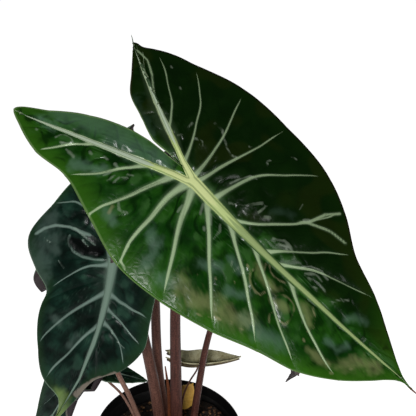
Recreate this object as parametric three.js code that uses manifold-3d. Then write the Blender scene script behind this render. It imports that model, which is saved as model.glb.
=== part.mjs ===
// A potted arrow-leaved house plant: six leaves on long stalks, two dead leaves and a dry sheath,
// standing in potting mix in a thin black nursery pot. Millimetres, +Z up, front towards -Y,
// origin in the middle of the pot's flat base.
import * as THREE from 'three';
import { mergeVertices } from 'three/addons/utils/BufferGeometryUtils.js';
import Module from 'manifold-3d';

const wasm = await Module();
wasm.setup();

// Driving dimensions
const potHeight = 105;
const rimRadius = 60;
const baseRadius = 43;
const wall = 1.4;
const potFloor = 2;
const rimBand = 11;
const rimStep = 3;
const drainHoles = 6;
const drainRadius = 4.5;
const drainRing = 29;
const soilTop = 88;
const stalkDepth = 14;
const gap = 0.3;
const bladeThickness = 0.9;
const ribTaper = 0.8;
const foldRadius = 3;
const puffShare = 0.075;
const neckShare = 0.08;
const joinDepth = 0.4;

// Solids

function toSolid(geometry) {
  const bare = geometry.clone();
  for (const name of ['normal', 'uv', 'uv1']) bare.deleteAttribute(name);
  const merged = mergeVertices(bare, 1e-4);
  return new wasm.Manifold(new wasm.Mesh({
    numProp: 3,
    vertProperties: new Float32Array(merged.attributes.position.array),
    triVerts: new Uint32Array(merged.index.array),
  }));
}

function toGeometry(solid) {
  const mesh = solid.getMesh();
  const geometry = new THREE.BufferGeometry();
  geometry.setAttribute('position', new THREE.BufferAttribute(mesh.vertProperties, 3));
  geometry.setIndex(new THREE.BufferAttribute(mesh.triVerts, 1));
  geometry.computeVertexNormals();
  return geometry;
}

function largestBody(solid) {
  return solid.decompose().sort((a, b) => b.volume() - a.volume())[0];
}

function indexed(points, triangles) {
  const geometry = new THREE.BufferGeometry();
  geometry.setFromPoints(points);
  geometry.setIndex(triangles.flat());
  geometry.computeVertexNormals();
  return geometry;
}

function randomFrom(seed) {
  let state = seed;
  return () => {
    state = (state * 1664525 + 1013904223) % 4294967296;
    return state / 4294967296;
  };
}

// Curves in a blade's own flat plan: x runs along to the tip, y across

const plan = (x, y) => new THREE.Vector2(x, y);

function bent(from, bend, to, t) {
  return plan(
    (1 - t) ** 2 * from.x + 2 * t * (1 - t) * bend.x + t * t * to.x,
    (1 - t) ** 2 * from.y + 2 * t * (1 - t) * bend.y + t * t * to.y,
  );
}

// A point on the side of a rib, a distance along it; side is +1 or -1
function ribSide(rib, along, side) {
  const root = plan(0, 0);
  const bend = plan(...rib.bend);
  const end = plan(...rib.end);
  const t = along / end.length();
  const middle = bent(root, bend, end, t);
  const ahead = bent(root, bend, end, t + 0.01).sub(middle).normalize();
  const half = (side * rib.wide * (1 - ribTaper * t)) / 2;
  return plan(middle.x - ahead.y * half, middle.y + ahead.x * half);
}

// The veins in order round the blade, each from its rib to the margin
function veinsRound(leaf) {
  const veins = [];
  const add = (kind, from, [bendX, bendY, toX, toY]) => {
    veins.push({ kind, from, bend: plan(bendX, bendY), to: plan(toX, toY) });
  };
  const alongRib = (rib, side, list) => {
    for (const [along, ...rest] of list) add('rib', ribSide(rib, along, side), rest);
  };
  const atHub = (list) => {
    for (const [degrees, ...rest] of list) {
      const angle = THREE.MathUtils.degToRad(degrees);
      add('hub', plan(Math.cos(angle) * leaf.hub, Math.sin(angle) * leaf.hub), rest);
    }
  };
  const atEnd = (kind, rib, tip) => {
    const middle = [(rib.end[0] + tip[0]) / 2, (rib.end[1] + tip[1]) / 2];
    add(kind, plan(...rib.end), [...middle, ...tip]);
  };
  const [notchX, notchY] = leaf.notch;
  add('notch', plan(-leaf.hub, 0), [(notchX - leaf.hub) / 2, notchY / 2, notchX, notchY]);
  alongRib(leaf.leftRib, 1, leaf.leftInner);
  atEnd('rounded', leaf.leftRib, leaf.leftLobe);
  alongRib(leaf.leftRib, -1, [...leaf.leftOuter].reverse());
  atHub(leaf.leftHub);
  alongRib(leaf.midrib, 1, leaf.leftVeins);
  atEnd('pointed', leaf.midrib, leaf.tip);
  alongRib(leaf.midrib, -1, [...leaf.rightVeins].reverse());
  atHub(leaf.rightHub);
  alongRib(leaf.rightRib, 1, leaf.rightOuter);
  atEnd('pointed', leaf.rightRib, leaf.rightLobe);
  alongRib(leaf.rightRib, -1, [...leaf.rightInner].reverse());
  return veins;
}

// The margin between two vein ends: a smooth curve, with corners at the tips and the notch
function marginBetween(veins, k, t) {
  const count = veins.length;
  const pick = (i) => veins[(i + count) % count];
  const corner = (vein) => vein.kind === 'pointed' || vein.kind === 'notch';
  const here = pick(k);
  const next = pick(k + 1);
  const chord = next.to.clone().sub(here.to);
  const slope = (before, at, after) => {
    const a = at.to.clone().sub(before.to);
    const b = after.to.clone().sub(at.to);
    const [lengthA, lengthB] = [a.length(), b.length()];
    a.multiplyScalar(lengthB / lengthA).add(b.multiplyScalar(lengthA / lengthB));
    return a.multiplyScalar(chord.length() / (lengthA + lengthB));
  };
  let leave = corner(here) ? null : slope(pick(k - 1), here, next);
  let arrive = corner(next) ? null : slope(here, next, pick(k + 2));
  if (!leave && !arrive) {
    leave = chord.clone();
    arrive = chord.clone();
  }
  leave ??= chord.clone().multiplyScalar(1.5).addScaledVector(arrive, -0.5);
  arrive ??= chord.clone().multiplyScalar(1.5).addScaledVector(leave, -0.5);
  return here.to.clone().multiplyScalar(2 * t ** 3 - 3 * t * t + 1)
    .addScaledVector(leave, t ** 3 - 2 * t * t + t)
    .addScaledVector(next.to, -2 * t ** 3 + 3 * t * t)
    .addScaledVector(arrive, t ** 3 - t * t);
}

// A point of the panel between two veins: s runs from the rib to the margin, t from vein to vein
function panelPoint(veins, k, s, t) {
  const here = veins[k];
  const next = veins[(k + 1) % veins.length];
  const blend = (a, b, c, d) => {
    const sum = plan(0, 0);
    sum.addScaledVector(a, (1 - s) * (1 - t)).addScaledVector(b, (1 - s) * t);
    return sum.addScaledVector(c, s * (1 - t)).addScaledVector(d, s * t);
  };
  const root = here.from.clone().lerp(next.from, t);
  const point = bent(here.from, here.bend, here.to, s).multiplyScalar(1 - t);
  point.addScaledVector(bent(next.from, next.bend, next.to, s), t);
  point.addScaledVector(root, 1 - s).addScaledVector(marginBetween(veins, k, t), s);
  return point.sub(blend(here.from, next.from, here.to, next.to));
}

// A blade's place: its plan axes and the way its upper face looks
function bladeFrame(leaf) {
  const navel = new THREE.Vector3(...leaf.navel);
  const along = new THREE.Vector3(...leaf.towards).normalize();
  const up = new THREE.Vector3(...leaf.faces);
  up.addScaledVector(along, -up.dot(along)).normalize();
  const across = new THREE.Vector3().crossVectors(along, up);
  return { navel, along, up, across };
}

// How far the blade stands off its flat plan: its halves rise from the midrib, then curve down
function bladeHeight(leaf, x, y) {
  const { keel, cup, tipDroop, lobeDroop } = leaf.form;
  const fold = keel * (Math.hypot(y, foldRadius) - foldRadius) - cup * y * y;
  const droop = x > 0 ? tipDroop * x * x : lobeDroop * x * x;
  return fold - droop;
}

// A margin that has rolled up: beyond a line that nears the midrib towards the tip, the blade
// turns over in an arc. Gives the place across, the lift and how far the upper face still looks up.
function rolledAcross(leaf, x, y) {
  if (!leaf.roll) return [y, 0, 1];
  const { side, from, lean, nearest, radius } = leaf.roll;
  const line = Math.max(nearest, from - lean * x);
  const turn = (side * y - line) / radius;
  if (turn <= 0) return [y, 0, 1];
  return [side * (line + radius * Math.sin(turn)), radius * (1 - Math.cos(turn)), Math.cos(turn)];
}

// The quilted rise of a panel between its veins
function panelPuff(width, s, t) {
  const across = 1 - Math.abs(2 * t - 1) ** 3;
  const outwards = Math.min(1, 4 * s) * (1 - 0.7 * s * s);
  return puffShare * width * across * outwards;
}

const fineSteps = [0, 0.13, 0.5, 0.87];
const plainSteps = [0, 0.2, 0.8];
const coarseSteps = [0, 0.5];

// A closed blade: upper face, the same triangles below it, thicker under the ribs, and a rim wall
function bladeGeometry(leaf, thickness = bladeThickness) {
  const { rows, steps } = leaf;
  const veins = veinsRound(leaf);
  const { navel, along, up, across } = bladeFrame(leaf);
  const place = (point, rise) => {
    const [y, lift, facing] = rolledAcross(leaf, point.x, point.y);
    const height = bladeHeight(leaf, point.x, y) + lift + rise * Math.max(0, facing);
    return navel.clone()
      .addScaledVector(along, point.x)
      .addScaledVector(across, y)
      .addScaledVector(up, height);
  };
  const top = [];
  const ridge = [];
  const columns = [];
  for (let k = 0; k < veins.length; k += 1) {
    const width = veins[k].to.distanceTo(veins[(k + 1) % veins.length].to);
    for (const t of steps) {
      columns.push({ k, t });
      for (let row = 0; row <= rows; row += 1) {
        const s = row / rows;
        const point = panelPoint(veins, k, s, t);
        top.push(place(point, panelPuff(width, s, t)));
        ridge.push(row === 0 ? 1.2 * leaf.rise : t === 0 ? leaf.rise * (1 - s) : 0);
      }
    }
  }
  const wide = rows + 1;
  const faces = [];
  const quad = (a, b, c, d) => faces.push([a, b, c], [a, c, d]);
  for (let column = 0; column < columns.length; column += 1) {
    const next = (column + 1) % columns.length;
    for (let row = 0; row < rows; row += 1) {
      const [a, b] = [column * wide + row, next * wide + row];
      quad(a, b, b + 1, a + 1);
    }
  }
  closeRibs(leaf, steps.length, wide, faces, top, ridge, place);
  return thicken(top, faces, ridge, thickness, columns.length, wide);
}

// Bridges each rib between its two sides and closes the hub where the three ribs meet
function closeRibs(leaf, perPanel, wide, faces, top, ridge, place) {
  const notch = 0;
  const leftEnd = notch + (leaf.leftInner.length + 1) * perPanel;
  const leftHub = leftEnd + (leaf.leftOuter.length + 1) * perPanel;
  const leftHubLast = leftHub + (leaf.leftHub.length - 1) * perPanel;
  const tipEnd = leftHubLast + (leaf.leftVeins.length + 1) * perPanel;
  const rightHub = tipEnd + (leaf.rightVeins.length + 1) * perPanel;
  const rightHubLast = rightHub + (leaf.rightHub.length - 1) * perPanel;
  const rightEnd = rightHubLast + (leaf.rightOuter.length + 1) * perPanel;
  const total = rightEnd + (leaf.rightInner.length + 1) * perPanel;
  const bridge = (start, end) => {
    const mirror = (column) => 2 * end - column;
    for (let column = start; column < end; column += 1) {
      const [a, b] = [column * wide, (column + 1) * wide];
      const [c, d] = [(mirror(column + 1) % total) * wide, (mirror(column) % total) * wide];
      faces.push([a, d, b]);
      if (b !== c) faces.push([b, d, c]);
    }
  };
  bridge(notch, leftEnd);
  bridge(leftHubLast, tipEnd);
  bridge(rightHubLast, rightEnd);
  const ring = [notch];
  for (let column = leftHub; column <= leftHubLast; column += 1) ring.push(column);
  for (let column = rightHub; column <= rightHubLast; column += 1) ring.push(column);
  const middle = top.length;
  top.push(place(plan(0, 0), 0.5));
  ridge.push(leaf.rise * 1.2);
  ring.forEach((column, i) => {
    faces.push([ring[(i + 1) % ring.length] * wide, column * wide, middle]);
  });
}

function thicken(top, faces, ridge, thickness, columnCount, wide) {
  const normals = top.map(() => new THREE.Vector3());
  for (const [a, b, c] of faces) {
    const normal = new THREE.Vector3().crossVectors(
      top[b].clone().sub(top[a]),
      top[c].clone().sub(top[a]),
    );
    for (const corner of [a, b, c]) normals[corner].add(normal);
  }
  const below = top.map((point, i) => {
    return point.clone().addScaledVector(normals[i].normalize(), -thickness - ridge[i]);
  });
  const count = top.length;
  const triangles = [...faces];
  for (const [a, b, c] of faces) triangles.push([a + count, c + count, b + count]);
  for (let column = 0; column < columnCount; column += 1) {
    const a = column * wide + wide - 1;
    const b = ((column + 1) % columnCount) * wide + wide - 1;
    triangles.push([a, b, b + count], [a, b + count, a + count]);
  }
  return indexed([...top, ...below], triangles);
}

// A tapering stalk along a smooth path, closed at both ends
function stalkGeometry({ path, radii, sides = 10, rings = 14, flat = 1 }, extra = 0) {
  const stops = path.map((stop) => new THREE.Vector3(...stop));
  const curve = new THREE.CatmullRomCurve3(stops, false, 'centripetal');
  const frames = curve.computeFrenetFrames(rings);
  const points = [];
  const triangles = [];
  for (let ring = 0; ring <= rings; ring += 1) {
    const t = ring / rings;
    const centre = curve.getPointAt(t);
    const radius = THREE.MathUtils.lerp(radii[0], radii[1], t) + extra;
    for (let side = 0; side < sides; side += 1) {
      const angle = (2 * Math.PI * side) / sides;
      points.push(centre.clone()
        .addScaledVector(frames.normals[ring], Math.cos(angle) * radius)
        .addScaledVector(frames.binormals[ring], Math.sin(angle) * radius * flat));
    }
  }
  const lastRing = rings * sides;
  for (let side = 0; side < sides; side += 1) {
    const next = (side + 1) % sides;
    for (let ring = 0; ring < rings; ring += 1) {
      const [a, b] = [ring * sides + side, ring * sides + next];
      triangles.push([a, b, b + sides], [a, b + sides, a + sides]);
    }
    if (side > 0 && side < sides - 1) {
      triangles.push([0, next, side], [lastRing, lastRing + side, lastRing + next]);
    }
  }
  return indexed(points, triangles);
}

// A small leaf of the same kind, drawn from its length, lobes and width
function plainBlade(form) {
  const { length, lobes, width, bend = 0, hub = 2.5, wide = 3, blunt = 0.19, spread = 0.5 } = form;
  const [a, b, w] = [length, lobes, width];
  const side = (sign) => ({
    outer: [
      [0.2 * b, -0.25 * b, 0.5 * w * sign, -0.3 * b, 0.9 * w * sign],
      [0.55 * b, -0.6 * b, (spread + 0.1) * w * sign, -0.72 * b, (spread + 0.28) * w * sign],
    ],
    inner: [
      [0.2 * b, -0.24 * b, 0.06 * w * sign, -0.32 * b, 0.06 * w * sign],
      [0.55 * b, -0.62 * b, (spread - 0.3) * w * sign, -0.72 * b, (spread - 0.3) * w * sign],
    ],
    hubVein: [70 * sign, 0.1 * a, 0.5 * w * sign, 0.17 * a, w * sign],
    veins: [
      [0.12 * a, 0.3 * a, 0.5 * w * sign, 0.45 * a, 0.82 * w * sign + 0.05 * bend],
      [0.36 * a, 0.56 * a, 0.35 * w * sign, 0.7 * a, 0.5 * w * sign + 0.3 * bend],
      [0.64 * a, 0.76 * a, 0.18 * w * sign + 0.3 * bend, 0.9 * a, blunt * w * sign + 0.72 * bend],
    ],
    lobe: [-b, spread * w * sign],
    rib: {
      end: [-0.93 * b, (spread - 0.03) * w * sign],
      bend: [-0.45 * b, (spread - 0.24) * w * sign],
      wide: 0.6 * wide,
    },
  });
  const left = side(1);
  const right = side(-1);
  return {
    hub,
    rows: 3,
    steps: plainSteps,
    rise: 0.8,
    notch: [-0.18 * b - hub, 0],
    tip: [a, bend],
    midrib: { end: [0.95 * a, 0.9 * bend], bend: [0.5 * a, -0.4 * bend], wide },
    leftRib: left.rib,
    rightRib: right.rib,
    leftLobe: left.lobe,
    rightLobe: right.lobe,
    leftInner: left.inner,
    leftOuter: left.outer,
    rightInner: right.inner,
    rightOuter: right.outer,
    leftHub: [left.hubVein],
    rightHub: [right.hubVein],
    leftVeins: left.veins,
    rightVeins: right.veins,
  };
}

// The leaves. Each rib vein is [where it leaves its rib, bend x, bend y, end x, end y],
// each hub vein [the way it leaves in degrees, then the same].

const frontLeaf = {
  navel: [12, -20, 332],
  towards: [0.789, -0.349, -0.505],
  faces: [0.147, -0.692, 0.707],
  form: { keel: 0.14, cup: 0.0022, tipDroop: 0.0008, lobeDroop: 0.0012 },
  rows: 4,
  steps: fineSteps,
  hub: 4.5,
  rise: 1.6,
  notch: [-11, -3],
  midrib: { end: [176, 0], bend: [87, 10], wide: 8 },
  leftRib: { end: [-111, 35], bend: [-56, 22], wide: 4.5 },
  rightRib: { end: [-91, -49], bend: [-52, -19], wide: 4.5 },
  tip: [186, 0],
  leftLobe: [-117, 35],
  rightLobe: [-97, -54],
  leftInner: [
    [13, -18, 0, -22, -2.9],
    [30, -37, 3, -43, -2.4],
    [65, -72, 15, -77, 8],
    [90, -95, 25, -99, 22],
  ],
  leftOuter: [
    [13, -22, 33, -32, 58],
    [30, -41, 31, -58.5, 49],
    [65, -73, 34, -84, 48.5],
    [90, -96, 36, -104, 42],
  ],
  leftHub: [
    [110, -7, 38, 2, 69],
    [55, 18, 36, 35, 68],
  ],
  leftVeins: [
    [17, 40, 34, 68, 61],
    [37, 65, 28, 94, 52],
    [57, 86, 27, 118.5, 45],
    [86, 113, 28, 143, 30.5],
    [120, 143, 16, 160, 16],
    [142, 158, 7, 169, 7.5],
    [160, 170, 2.4, 176, 2.4],
  ],
  rightVeins: [
    [17, 28, -43, 63, -65],
    [37, 69, -19, 84, -53.5],
    [63, 82, -19, 106, -36],
    [74, 101, -17, 134, -24],
    [126, 138, -6, 150, -15],
    [146, 158, -4, 167, -5.5],
    [160, 170, -1.4, 176, -1.6],
  ],
  rightHub: [
    [-55, 14, -36, 21, -73.5],
    [-110, -2, -40, -18, -75.5],
  ],
  rightOuter: [
    [14, -24, -44, -55.5, -67],
    [27, -38, -46, -70, -64],
    [38, -50, -44, -82, -59],
    [54, -72, -35, -90, -55],
    [76, -84, -44, -95, -55],
  ],
  rightInner: [
    [14, -17, -5, -20, -3.8],
    [38, -37, -10, -36, -4.6],
    [49, -51, -16, -53, -12],
    [62, -66, -24, -69, -20],
    [80, -79, -33, -79, -32],
  ],
};

const secondLeaf = {
  navel: [-40, -10, 268],
  towards: [-0.351, -0.28, -0.894],
  faces: [-0.24, -0.896, 0.375],
  form: { keel: 0.18, cup: 0.0028, tipDroop: 0.0008, lobeDroop: 0.0025 },
  rows: 4,
  steps: fineSteps,
  hub: 4,
  rise: 1.3,
  notch: [-10, 0],
  midrib: { end: [130, -2], bend: [62, -20], wide: 6.5 },
  leftRib: { end: [-42, 38], bend: [-16, 16], wide: 4 },
  rightRib: { end: [-36, -22], bend: [-16, -12], wide: 4 },
  tip: [138, 0],
  leftLobe: [-46, 40],
  rightLobe: [-40, -25],
  leftInner: [
    [14, -16, 6, -18, 3],
    [36, -34, 22, -36, 19],
  ],
  leftOuter: [
    [14, -17, 40, 17, 62.5],
    [36, -28, 46, -15, 55.5],
  ],
  leftHub: [[95, 10, 26, 30, 50]],
  leftVeins: [
    [6, 20, 22, 42, 35],
    [14, 36, 26, 52, 35.5],
    [24, 61, 28, 83, 27],
    [49, 78, 8, 104, 15],
    [90, 106, -1, 112, 1.5],
  ],
  rightVeins: [
    [24, 22, -24, 25, -41],
    [34, 33, -18, 45, -44.5],
    [44, 44, -27, 65, -37],
    [64, 72, -17, 84, -20],
    [90, 99, -9, 107, -11.5],
  ],
  rightHub: [[-100, 2, -20, 4, -37]],
  rightOuter: [
    [14, -12, -22, -12, -34],
    [30, -26, -26, -30, -33],
  ],
  rightInner: [
    [14, -16, -6, -18, -4],
    [30, -30, -15, -31, -12],
  ],
};

const lowLeaf = {
  ...plainBlade({ length: 128, lobes: 38, width: 27, wide: 3.5, hub: 2.2 }),
  navel: [-57, 15, 181],
  towards: [-0.48, -0.12, -0.87],
  faces: [-0.3, -0.85, 0.4],
  form: { keel: 0.15, cup: 0.004, tipDroop: 0.0003, lobeDroop: 0.002 },
  roll: { side: -1, from: 30, lean: 0.33, nearest: 3, radius: 3.6 },
  rows: 8,
};

const smallLeaf = {
  ...plainBlade({ length: 43, lobes: 18, width: 12, wide: 2, hub: 1.6 }),
  steps: coarseSteps,
  navel: [-62, 36, 133],
  towards: [0.95, 0.1, -0.3],
  faces: [0.3, -0.1, 0.95],
  form: { keel: 0.15, cup: 0.006, tipDroop: 0.001, lobeDroop: 0.004 },
};

const backLeaf = {
  ...plainBlade({
    length: 132, bend: 2, lobes: 42, width: 38, wide: 5, hub: 3.5, blunt: 0.4, spread: 0.8,
  }),
  rightOuter: [
    [8, -10, -15, -11, -28],
    [23, -24, -27, -28, -34],
  ],
  rightHub: [[-70, 13, -16, 22, -27]],
  rightVeins: [
    [16, 40, -15, 59, -24],
    [48, 74, -11, 92, -17],
    [84, 100, -5, 119, -12],
  ],
  navel: [-35, 36, 312.5],
  towards: [-0.605, 0.104, -0.79],
  faces: [-0.497, 0.725, 0.476],
  form: { keel: 0.15, cup: 0.0028, tipDroop: 0.0006, lobeDroop: 0.0015 },
};

const rightLeaf = {
  ...plainBlade({ length: 147, bend: -4, lobes: 46, width: 36, wide: 4, hub: 2.5, blunt: 0.06 }),
  midrib: { end: [133, -3], bend: [74, 13], wide: 4 },
  tip: [147, -19],
  navel: [51, 20, 264],
  towards: [0.42, 0.1, -0.9],
  faces: [0.35, 0.85, 0.4],
  form: { keel: 0.15, cup: 0.003, tipDroop: 0.0002, lobeDroop: 0.0015 },
};

const dryLeaf = {
  ...plainBlade({ length: 36, lobes: 26, width: 13, wide: 1.6, hub: 1.4 }),
  steps: coarseSteps,
  navel: [20, 33, 146],
  towards: [0.98, 0.1, 0],
  faces: [0, 0.25, 0.97],
  form: { keel: 0.9, cup: 0.015, tipDroop: -0.005, lobeDroop: -0.01 },
};

const yellowLeaf = {
  ...plainBlade({ length: 17, lobes: 8, width: 11, wide: 1.6, hub: 1.4 }),
  steps: coarseSteps,
  navel: [8, 29, 110],
  towards: [0.5, 0.1, 0.85],
  faces: [0, -0.95, 0.3],
  form: { keel: 0.1, cup: 0.02, tipDroop: 0.01, lobeDroop: 0.01 },
};

// Where each stalk stands in the soil, the points it passes, and its radii at foot and top
const stalks = {
  front: {
    foot: [6.5, -2],
    through: [[5.7, -4, 125], [3.9, -7, 184], [2.8, -8, 234], [4.5, -8, 286]],
    radii: [5.2, 2.6],
  },
  second: {
    foot: [-6, -1],
    through: [[-8, -2, 122], [-17.6, -4, 188], [-27, -3, 232]],
    radii: [5.2, 2.9],
  },
  low: {
    foot: [-17, 5],
    through: [[-25.8, 6, 112], [-34, 8, 134], [-43, 12, 151]],
    radii: [2.2, 1.8],
  },
  small: {
    foot: [-24, 10],
    through: [[-30, 12, 106], [-41, 20, 121], [-53, 29, 125]],
    radii: [1.2, 1],
  },
  back: {
    foot: [-1, 12.5],
    through: [[-10, 14, 144], [-13, 16, 192], [-14, 16, 222], [-20, 18, 262]],
    radii: [4.4, 2.9],
  },
  right: {
    foot: [18, 2.5],
    through: [[19.4, 3, 118], [23, 6, 158], [26.5, 9, 188], [36, 9, 232]],
    radii: [3.4, 1.7],
  },
  dry: {
    foot: [8, 20],
    through: [[9.4, 21, 121], [14, 25, 134]],
    radii: [0.9, 0.7],
  },
};

// A stalk's path: straight in its hole, then through its points, square to the blade at the navel
function stalkPath(stalk, leaf) {
  const { navel, up } = bladeFrame(leaf);
  const [x, y] = stalk.foot;
  const join = navel.clone().addScaledVector(up, -joinDepth);
  const neck = navel.clone().addScaledVector(up, -neckShare * (navel.z - soilTop));
  return [
    [x, y, soilTop - stalkDepth],
    [x, y, soilTop],
    ...stalk.through,
    neck.toArray(),
    join.toArray(),
  ];
}

// A stalk cut off just short of the blade's underside
function stalkFor(stalk, leaf) {
  const sides = stalk.radii[0] > 3 ? 10 : 7;
  const form = { path: stalkPath(stalk, leaf), radii: stalk.radii, sides };
  const clearance = toSolid(bladeGeometry(leaf, bladeThickness + gap));
  return { form, solid: toSolid(stalkGeometry(form)).subtract(clearance) };
}

// Pot

const bandTop = potHeight - rimBand;

// The radius of the pot's tapering outside below the rim band
function potOutside(z) {
  return THREE.MathUtils.mapLinear(z, 0, bandTop, baseRadius, rimRadius - rimStep);
}

function turned(profile, segments) {
  const outline = profile.map(([radius, z]) => new THREE.Vector2(radius, z));
  return new THREE.LatheGeometry(outline, segments).rotateX(Math.PI / 2);
}

function potSolid() {
  const profile = [
    [0, 0],
    [baseRadius - 1, 0],
    [potOutside(1), 1],
    [potOutside(bandTop), bandTop],
    [rimRadius - 0.8, bandTop + 1],
    [rimRadius - 0.3, potHeight - 1],
    [rimRadius - 1, potHeight],
    [rimRadius - 0.3 - wall, potHeight - 0.6],
    [rimRadius - 0.9 - wall, bandTop + 1.6],
    [potOutside(bandTop) - wall, bandTop - 1],
    [potOutside(potFloor) - wall, potFloor],
    [0, potFloor],
  ];
  let pot = toSolid(turned(profile, 44));
  for (let hole = 0; hole < drainHoles; hole += 1) {
    const angle = (2 * Math.PI * hole) / drainHoles;
    const drill = new THREE.CylinderGeometry(drainRadius, drainRadius, 3 * potFloor, 14);
    drill.rotateX(Math.PI / 2);
    drill.translate(drainRing * Math.cos(angle), drainRing * Math.sin(angle), potFloor / 2);
    pot = pot.subtract(toSolid(drill));
  }
  return pot;
}

// Soil: a filling with an uneven top, bark chips half sunk in it, and plain holes for the stalks

const soilRounds = 6;
const soilSides = 28;
const chipCount = 28;
const chipTurn = 2.4;
const chipHeight = 2.6;
const innerReach = 8;
const outerReach = 50;

function soilRipple(x, y) {
  return Math.sin(0.31 * x + 1) * Math.cos(0.27 * y) + 0.5 * Math.sin(0.9 * x - 0.7 * y);
}

function soilFilling() {
  const inside = (z) => potOutside(z) - wall - gap;
  const bottom = potFloor + gap;
  const shoulder = soilTop - 1;
  const profile = [[0, bottom], [inside(bottom), bottom], [inside(shoulder), shoulder]];
  for (let round = 0; round <= soilRounds; round += 1) {
    profile.push([(inside(soilTop) - 1) * (1 - round / soilRounds), soilTop]);
  }
  const filling = turned(profile, soilSides);
  const spots = filling.attributes.position;
  for (let i = 0; i < spots.count; i += 1) {
    const [x, y, z] = [spots.getX(i), spots.getY(i), spots.getZ(i)];
    if (z > shoulder + 0.5) spots.setZ(i, z + soilRipple(x, y));
  }
  return toSolid(filling);
}

function barkChip(chip, random) {
  const size = 3.2 + 4 * random();
  const bark = new THREE.BoxGeometry(size, 0.6 * size, chipHeight);
  bark.rotateX(0.9 * random() - 0.45);
  bark.rotateY(0.9 * random() - 0.45);
  bark.rotateZ(6 * random());
  const angle = chip * chipTurn;
  const reach = innerReach + (outerReach - innerReach) * Math.sqrt((chip + 0.5) / chipCount);
  bark.translate(reach * Math.cos(angle), reach * Math.sin(angle), soilTop + 0.9);
  return toSolid(bark);
}

function soilSolid(stands) {
  let soil = soilFilling();
  const random = randomFrom(7);
  for (let chip = 0; chip < chipCount; chip += 1) soil = soil.add(barkChip(chip, random));
  for (const stand of stands) soil = soil.subtract(toSolid(stalkGeometry(stand, gap)));
  return largestBody(soil);
}

// Materials

const look = (color, roughness) => new THREE.MeshStandardMaterial({ color, roughness, metalness: 0 });
const leafGreen = look(0x1f5a24, 0.3);
const darkGreen = look(0x1d3a30, 0.4);
const mauve = look(0x7a5a52, 0.6);
const blackPlastic = look(0x141414, 0.4);
const pottingMix = look(0x3a2a20, 0.95);
const dryOlive = look(0x8d8660, 0.8);
const ochre = look(0xb08f3c, 0.7);
const redBrown = look(0x6e3a22, 0.8);

// The whole plant

const plant = new THREE.Group();

function addPiece(name, geometry, material) {
  const mesh = new THREE.Mesh(geometry, material.clone());
  mesh.name = name;
  plant.add(mesh);
}

const frontStalk = stalkFor(stalks.front, frontLeaf);
const secondStalk = stalkFor(stalks.second, secondLeaf);
const lowStalk = stalkFor(stalks.low, lowLeaf);
const smallStalk = stalkFor(stalks.small, smallLeaf);
const backStalk = stalkFor(stalks.back, backLeaf);
const rightStalk = stalkFor(stalks.right, rightLeaf);
const dryStalk = stalkFor(stalks.dry, dryLeaf);

addPiece('front_leaf', bladeGeometry(frontLeaf), leafGreen);
addPiece('front_stalk', toGeometry(frontStalk.solid), mauve);
addPiece('second_leaf', bladeGeometry(secondLeaf), darkGreen);
addPiece('second_stalk', toGeometry(secondStalk.solid), mauve);
addPiece('low_leaf', bladeGeometry(lowLeaf), darkGreen);
addPiece('low_stalk', toGeometry(lowStalk.solid), mauve);
addPiece('small_leaf', bladeGeometry(smallLeaf), darkGreen);
addPiece('small_stalk', toGeometry(smallStalk.solid), mauve);
addPiece('back_leaf', bladeGeometry(backLeaf), darkGreen);
addPiece('back_stalk', toGeometry(backStalk.solid), mauve);
addPiece('right_leaf', bladeGeometry(rightLeaf), darkGreen);
addPiece('right_stalk', toGeometry(rightStalk.solid), mauve);
addPiece('dry_leaf', bladeGeometry(dryLeaf), dryOlive);
addPiece('dry_stalk', toGeometry(dryStalk.solid), redBrown);

const stub = {
  path: [[5, 29, 76], [5.5, 29, 94], [7.6, 29.4, 106]],
  radii: [1.4, 1.2],
  sides: 8,
  rings: 5,
};
const yellow = toSolid(bladeGeometry(yellowLeaf)).add(toSolid(stalkGeometry(stub)));
addPiece('yellow_leaf', toGeometry(yellow), ochre);

const sheath = {
  path: [[0.5, 4.6, 76], [0.5, 4.6, 92], [-1, 5, 136], [-4.6, 5, 166]],
  radii: [2.2, 0.7],
  sides: 8,
  rings: 8,
  flat: 0.6,
};
addPiece('dry_sheath', stalkGeometry(sheath), redBrown);

const stalkPieces = [
  frontStalk,
  secondStalk,
  lowStalk,
  smallStalk,
  backStalk,
  rightStalk,
  dryStalk,
];
const stands = [...stalkPieces.map(({ form }) => form), stub, sheath];
addPiece('pot', toGeometry(potSolid()), blackPlastic);
addPiece('soil', toGeometry(soilSolid(stands)), pottingMix);

export default plant;
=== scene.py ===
# %% [markdown]
# A potted arrow-leaved house plant. One big glossy leaf faces us, darker leaves hang behind it,
# and all of them stand on brown stalks in a black nursery pot. The solids of the plant are loaded
# first. Each lesson cell then replaces some of them with a finer piece of the same form.

# %% Load the plant's solids
import math
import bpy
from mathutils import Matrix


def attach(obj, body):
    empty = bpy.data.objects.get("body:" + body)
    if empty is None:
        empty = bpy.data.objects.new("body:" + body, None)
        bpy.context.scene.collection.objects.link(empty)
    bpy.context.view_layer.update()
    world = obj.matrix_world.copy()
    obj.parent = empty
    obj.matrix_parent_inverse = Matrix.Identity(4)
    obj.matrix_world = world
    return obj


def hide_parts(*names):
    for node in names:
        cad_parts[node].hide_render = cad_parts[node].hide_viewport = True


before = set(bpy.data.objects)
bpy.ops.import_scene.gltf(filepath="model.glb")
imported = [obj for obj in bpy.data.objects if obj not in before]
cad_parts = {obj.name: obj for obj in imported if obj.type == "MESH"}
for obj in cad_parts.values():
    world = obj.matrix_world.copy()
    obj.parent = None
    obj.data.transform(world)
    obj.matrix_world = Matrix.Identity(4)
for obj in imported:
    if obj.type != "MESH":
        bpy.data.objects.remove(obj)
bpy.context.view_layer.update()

from types import SimpleNamespace

import bpy
import numpy as np
from mathutils import Matrix, Vector, noise

MM = 0.001
bpy.ops.object.select_all(action="DESELECT")

# %% [markdown]
# The photograph looks down on the plant from a little above, turned slightly clockwise. The camera
# was fitted to the ellipse of the pot's rim, so the same lens and place give the same picture.

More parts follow.
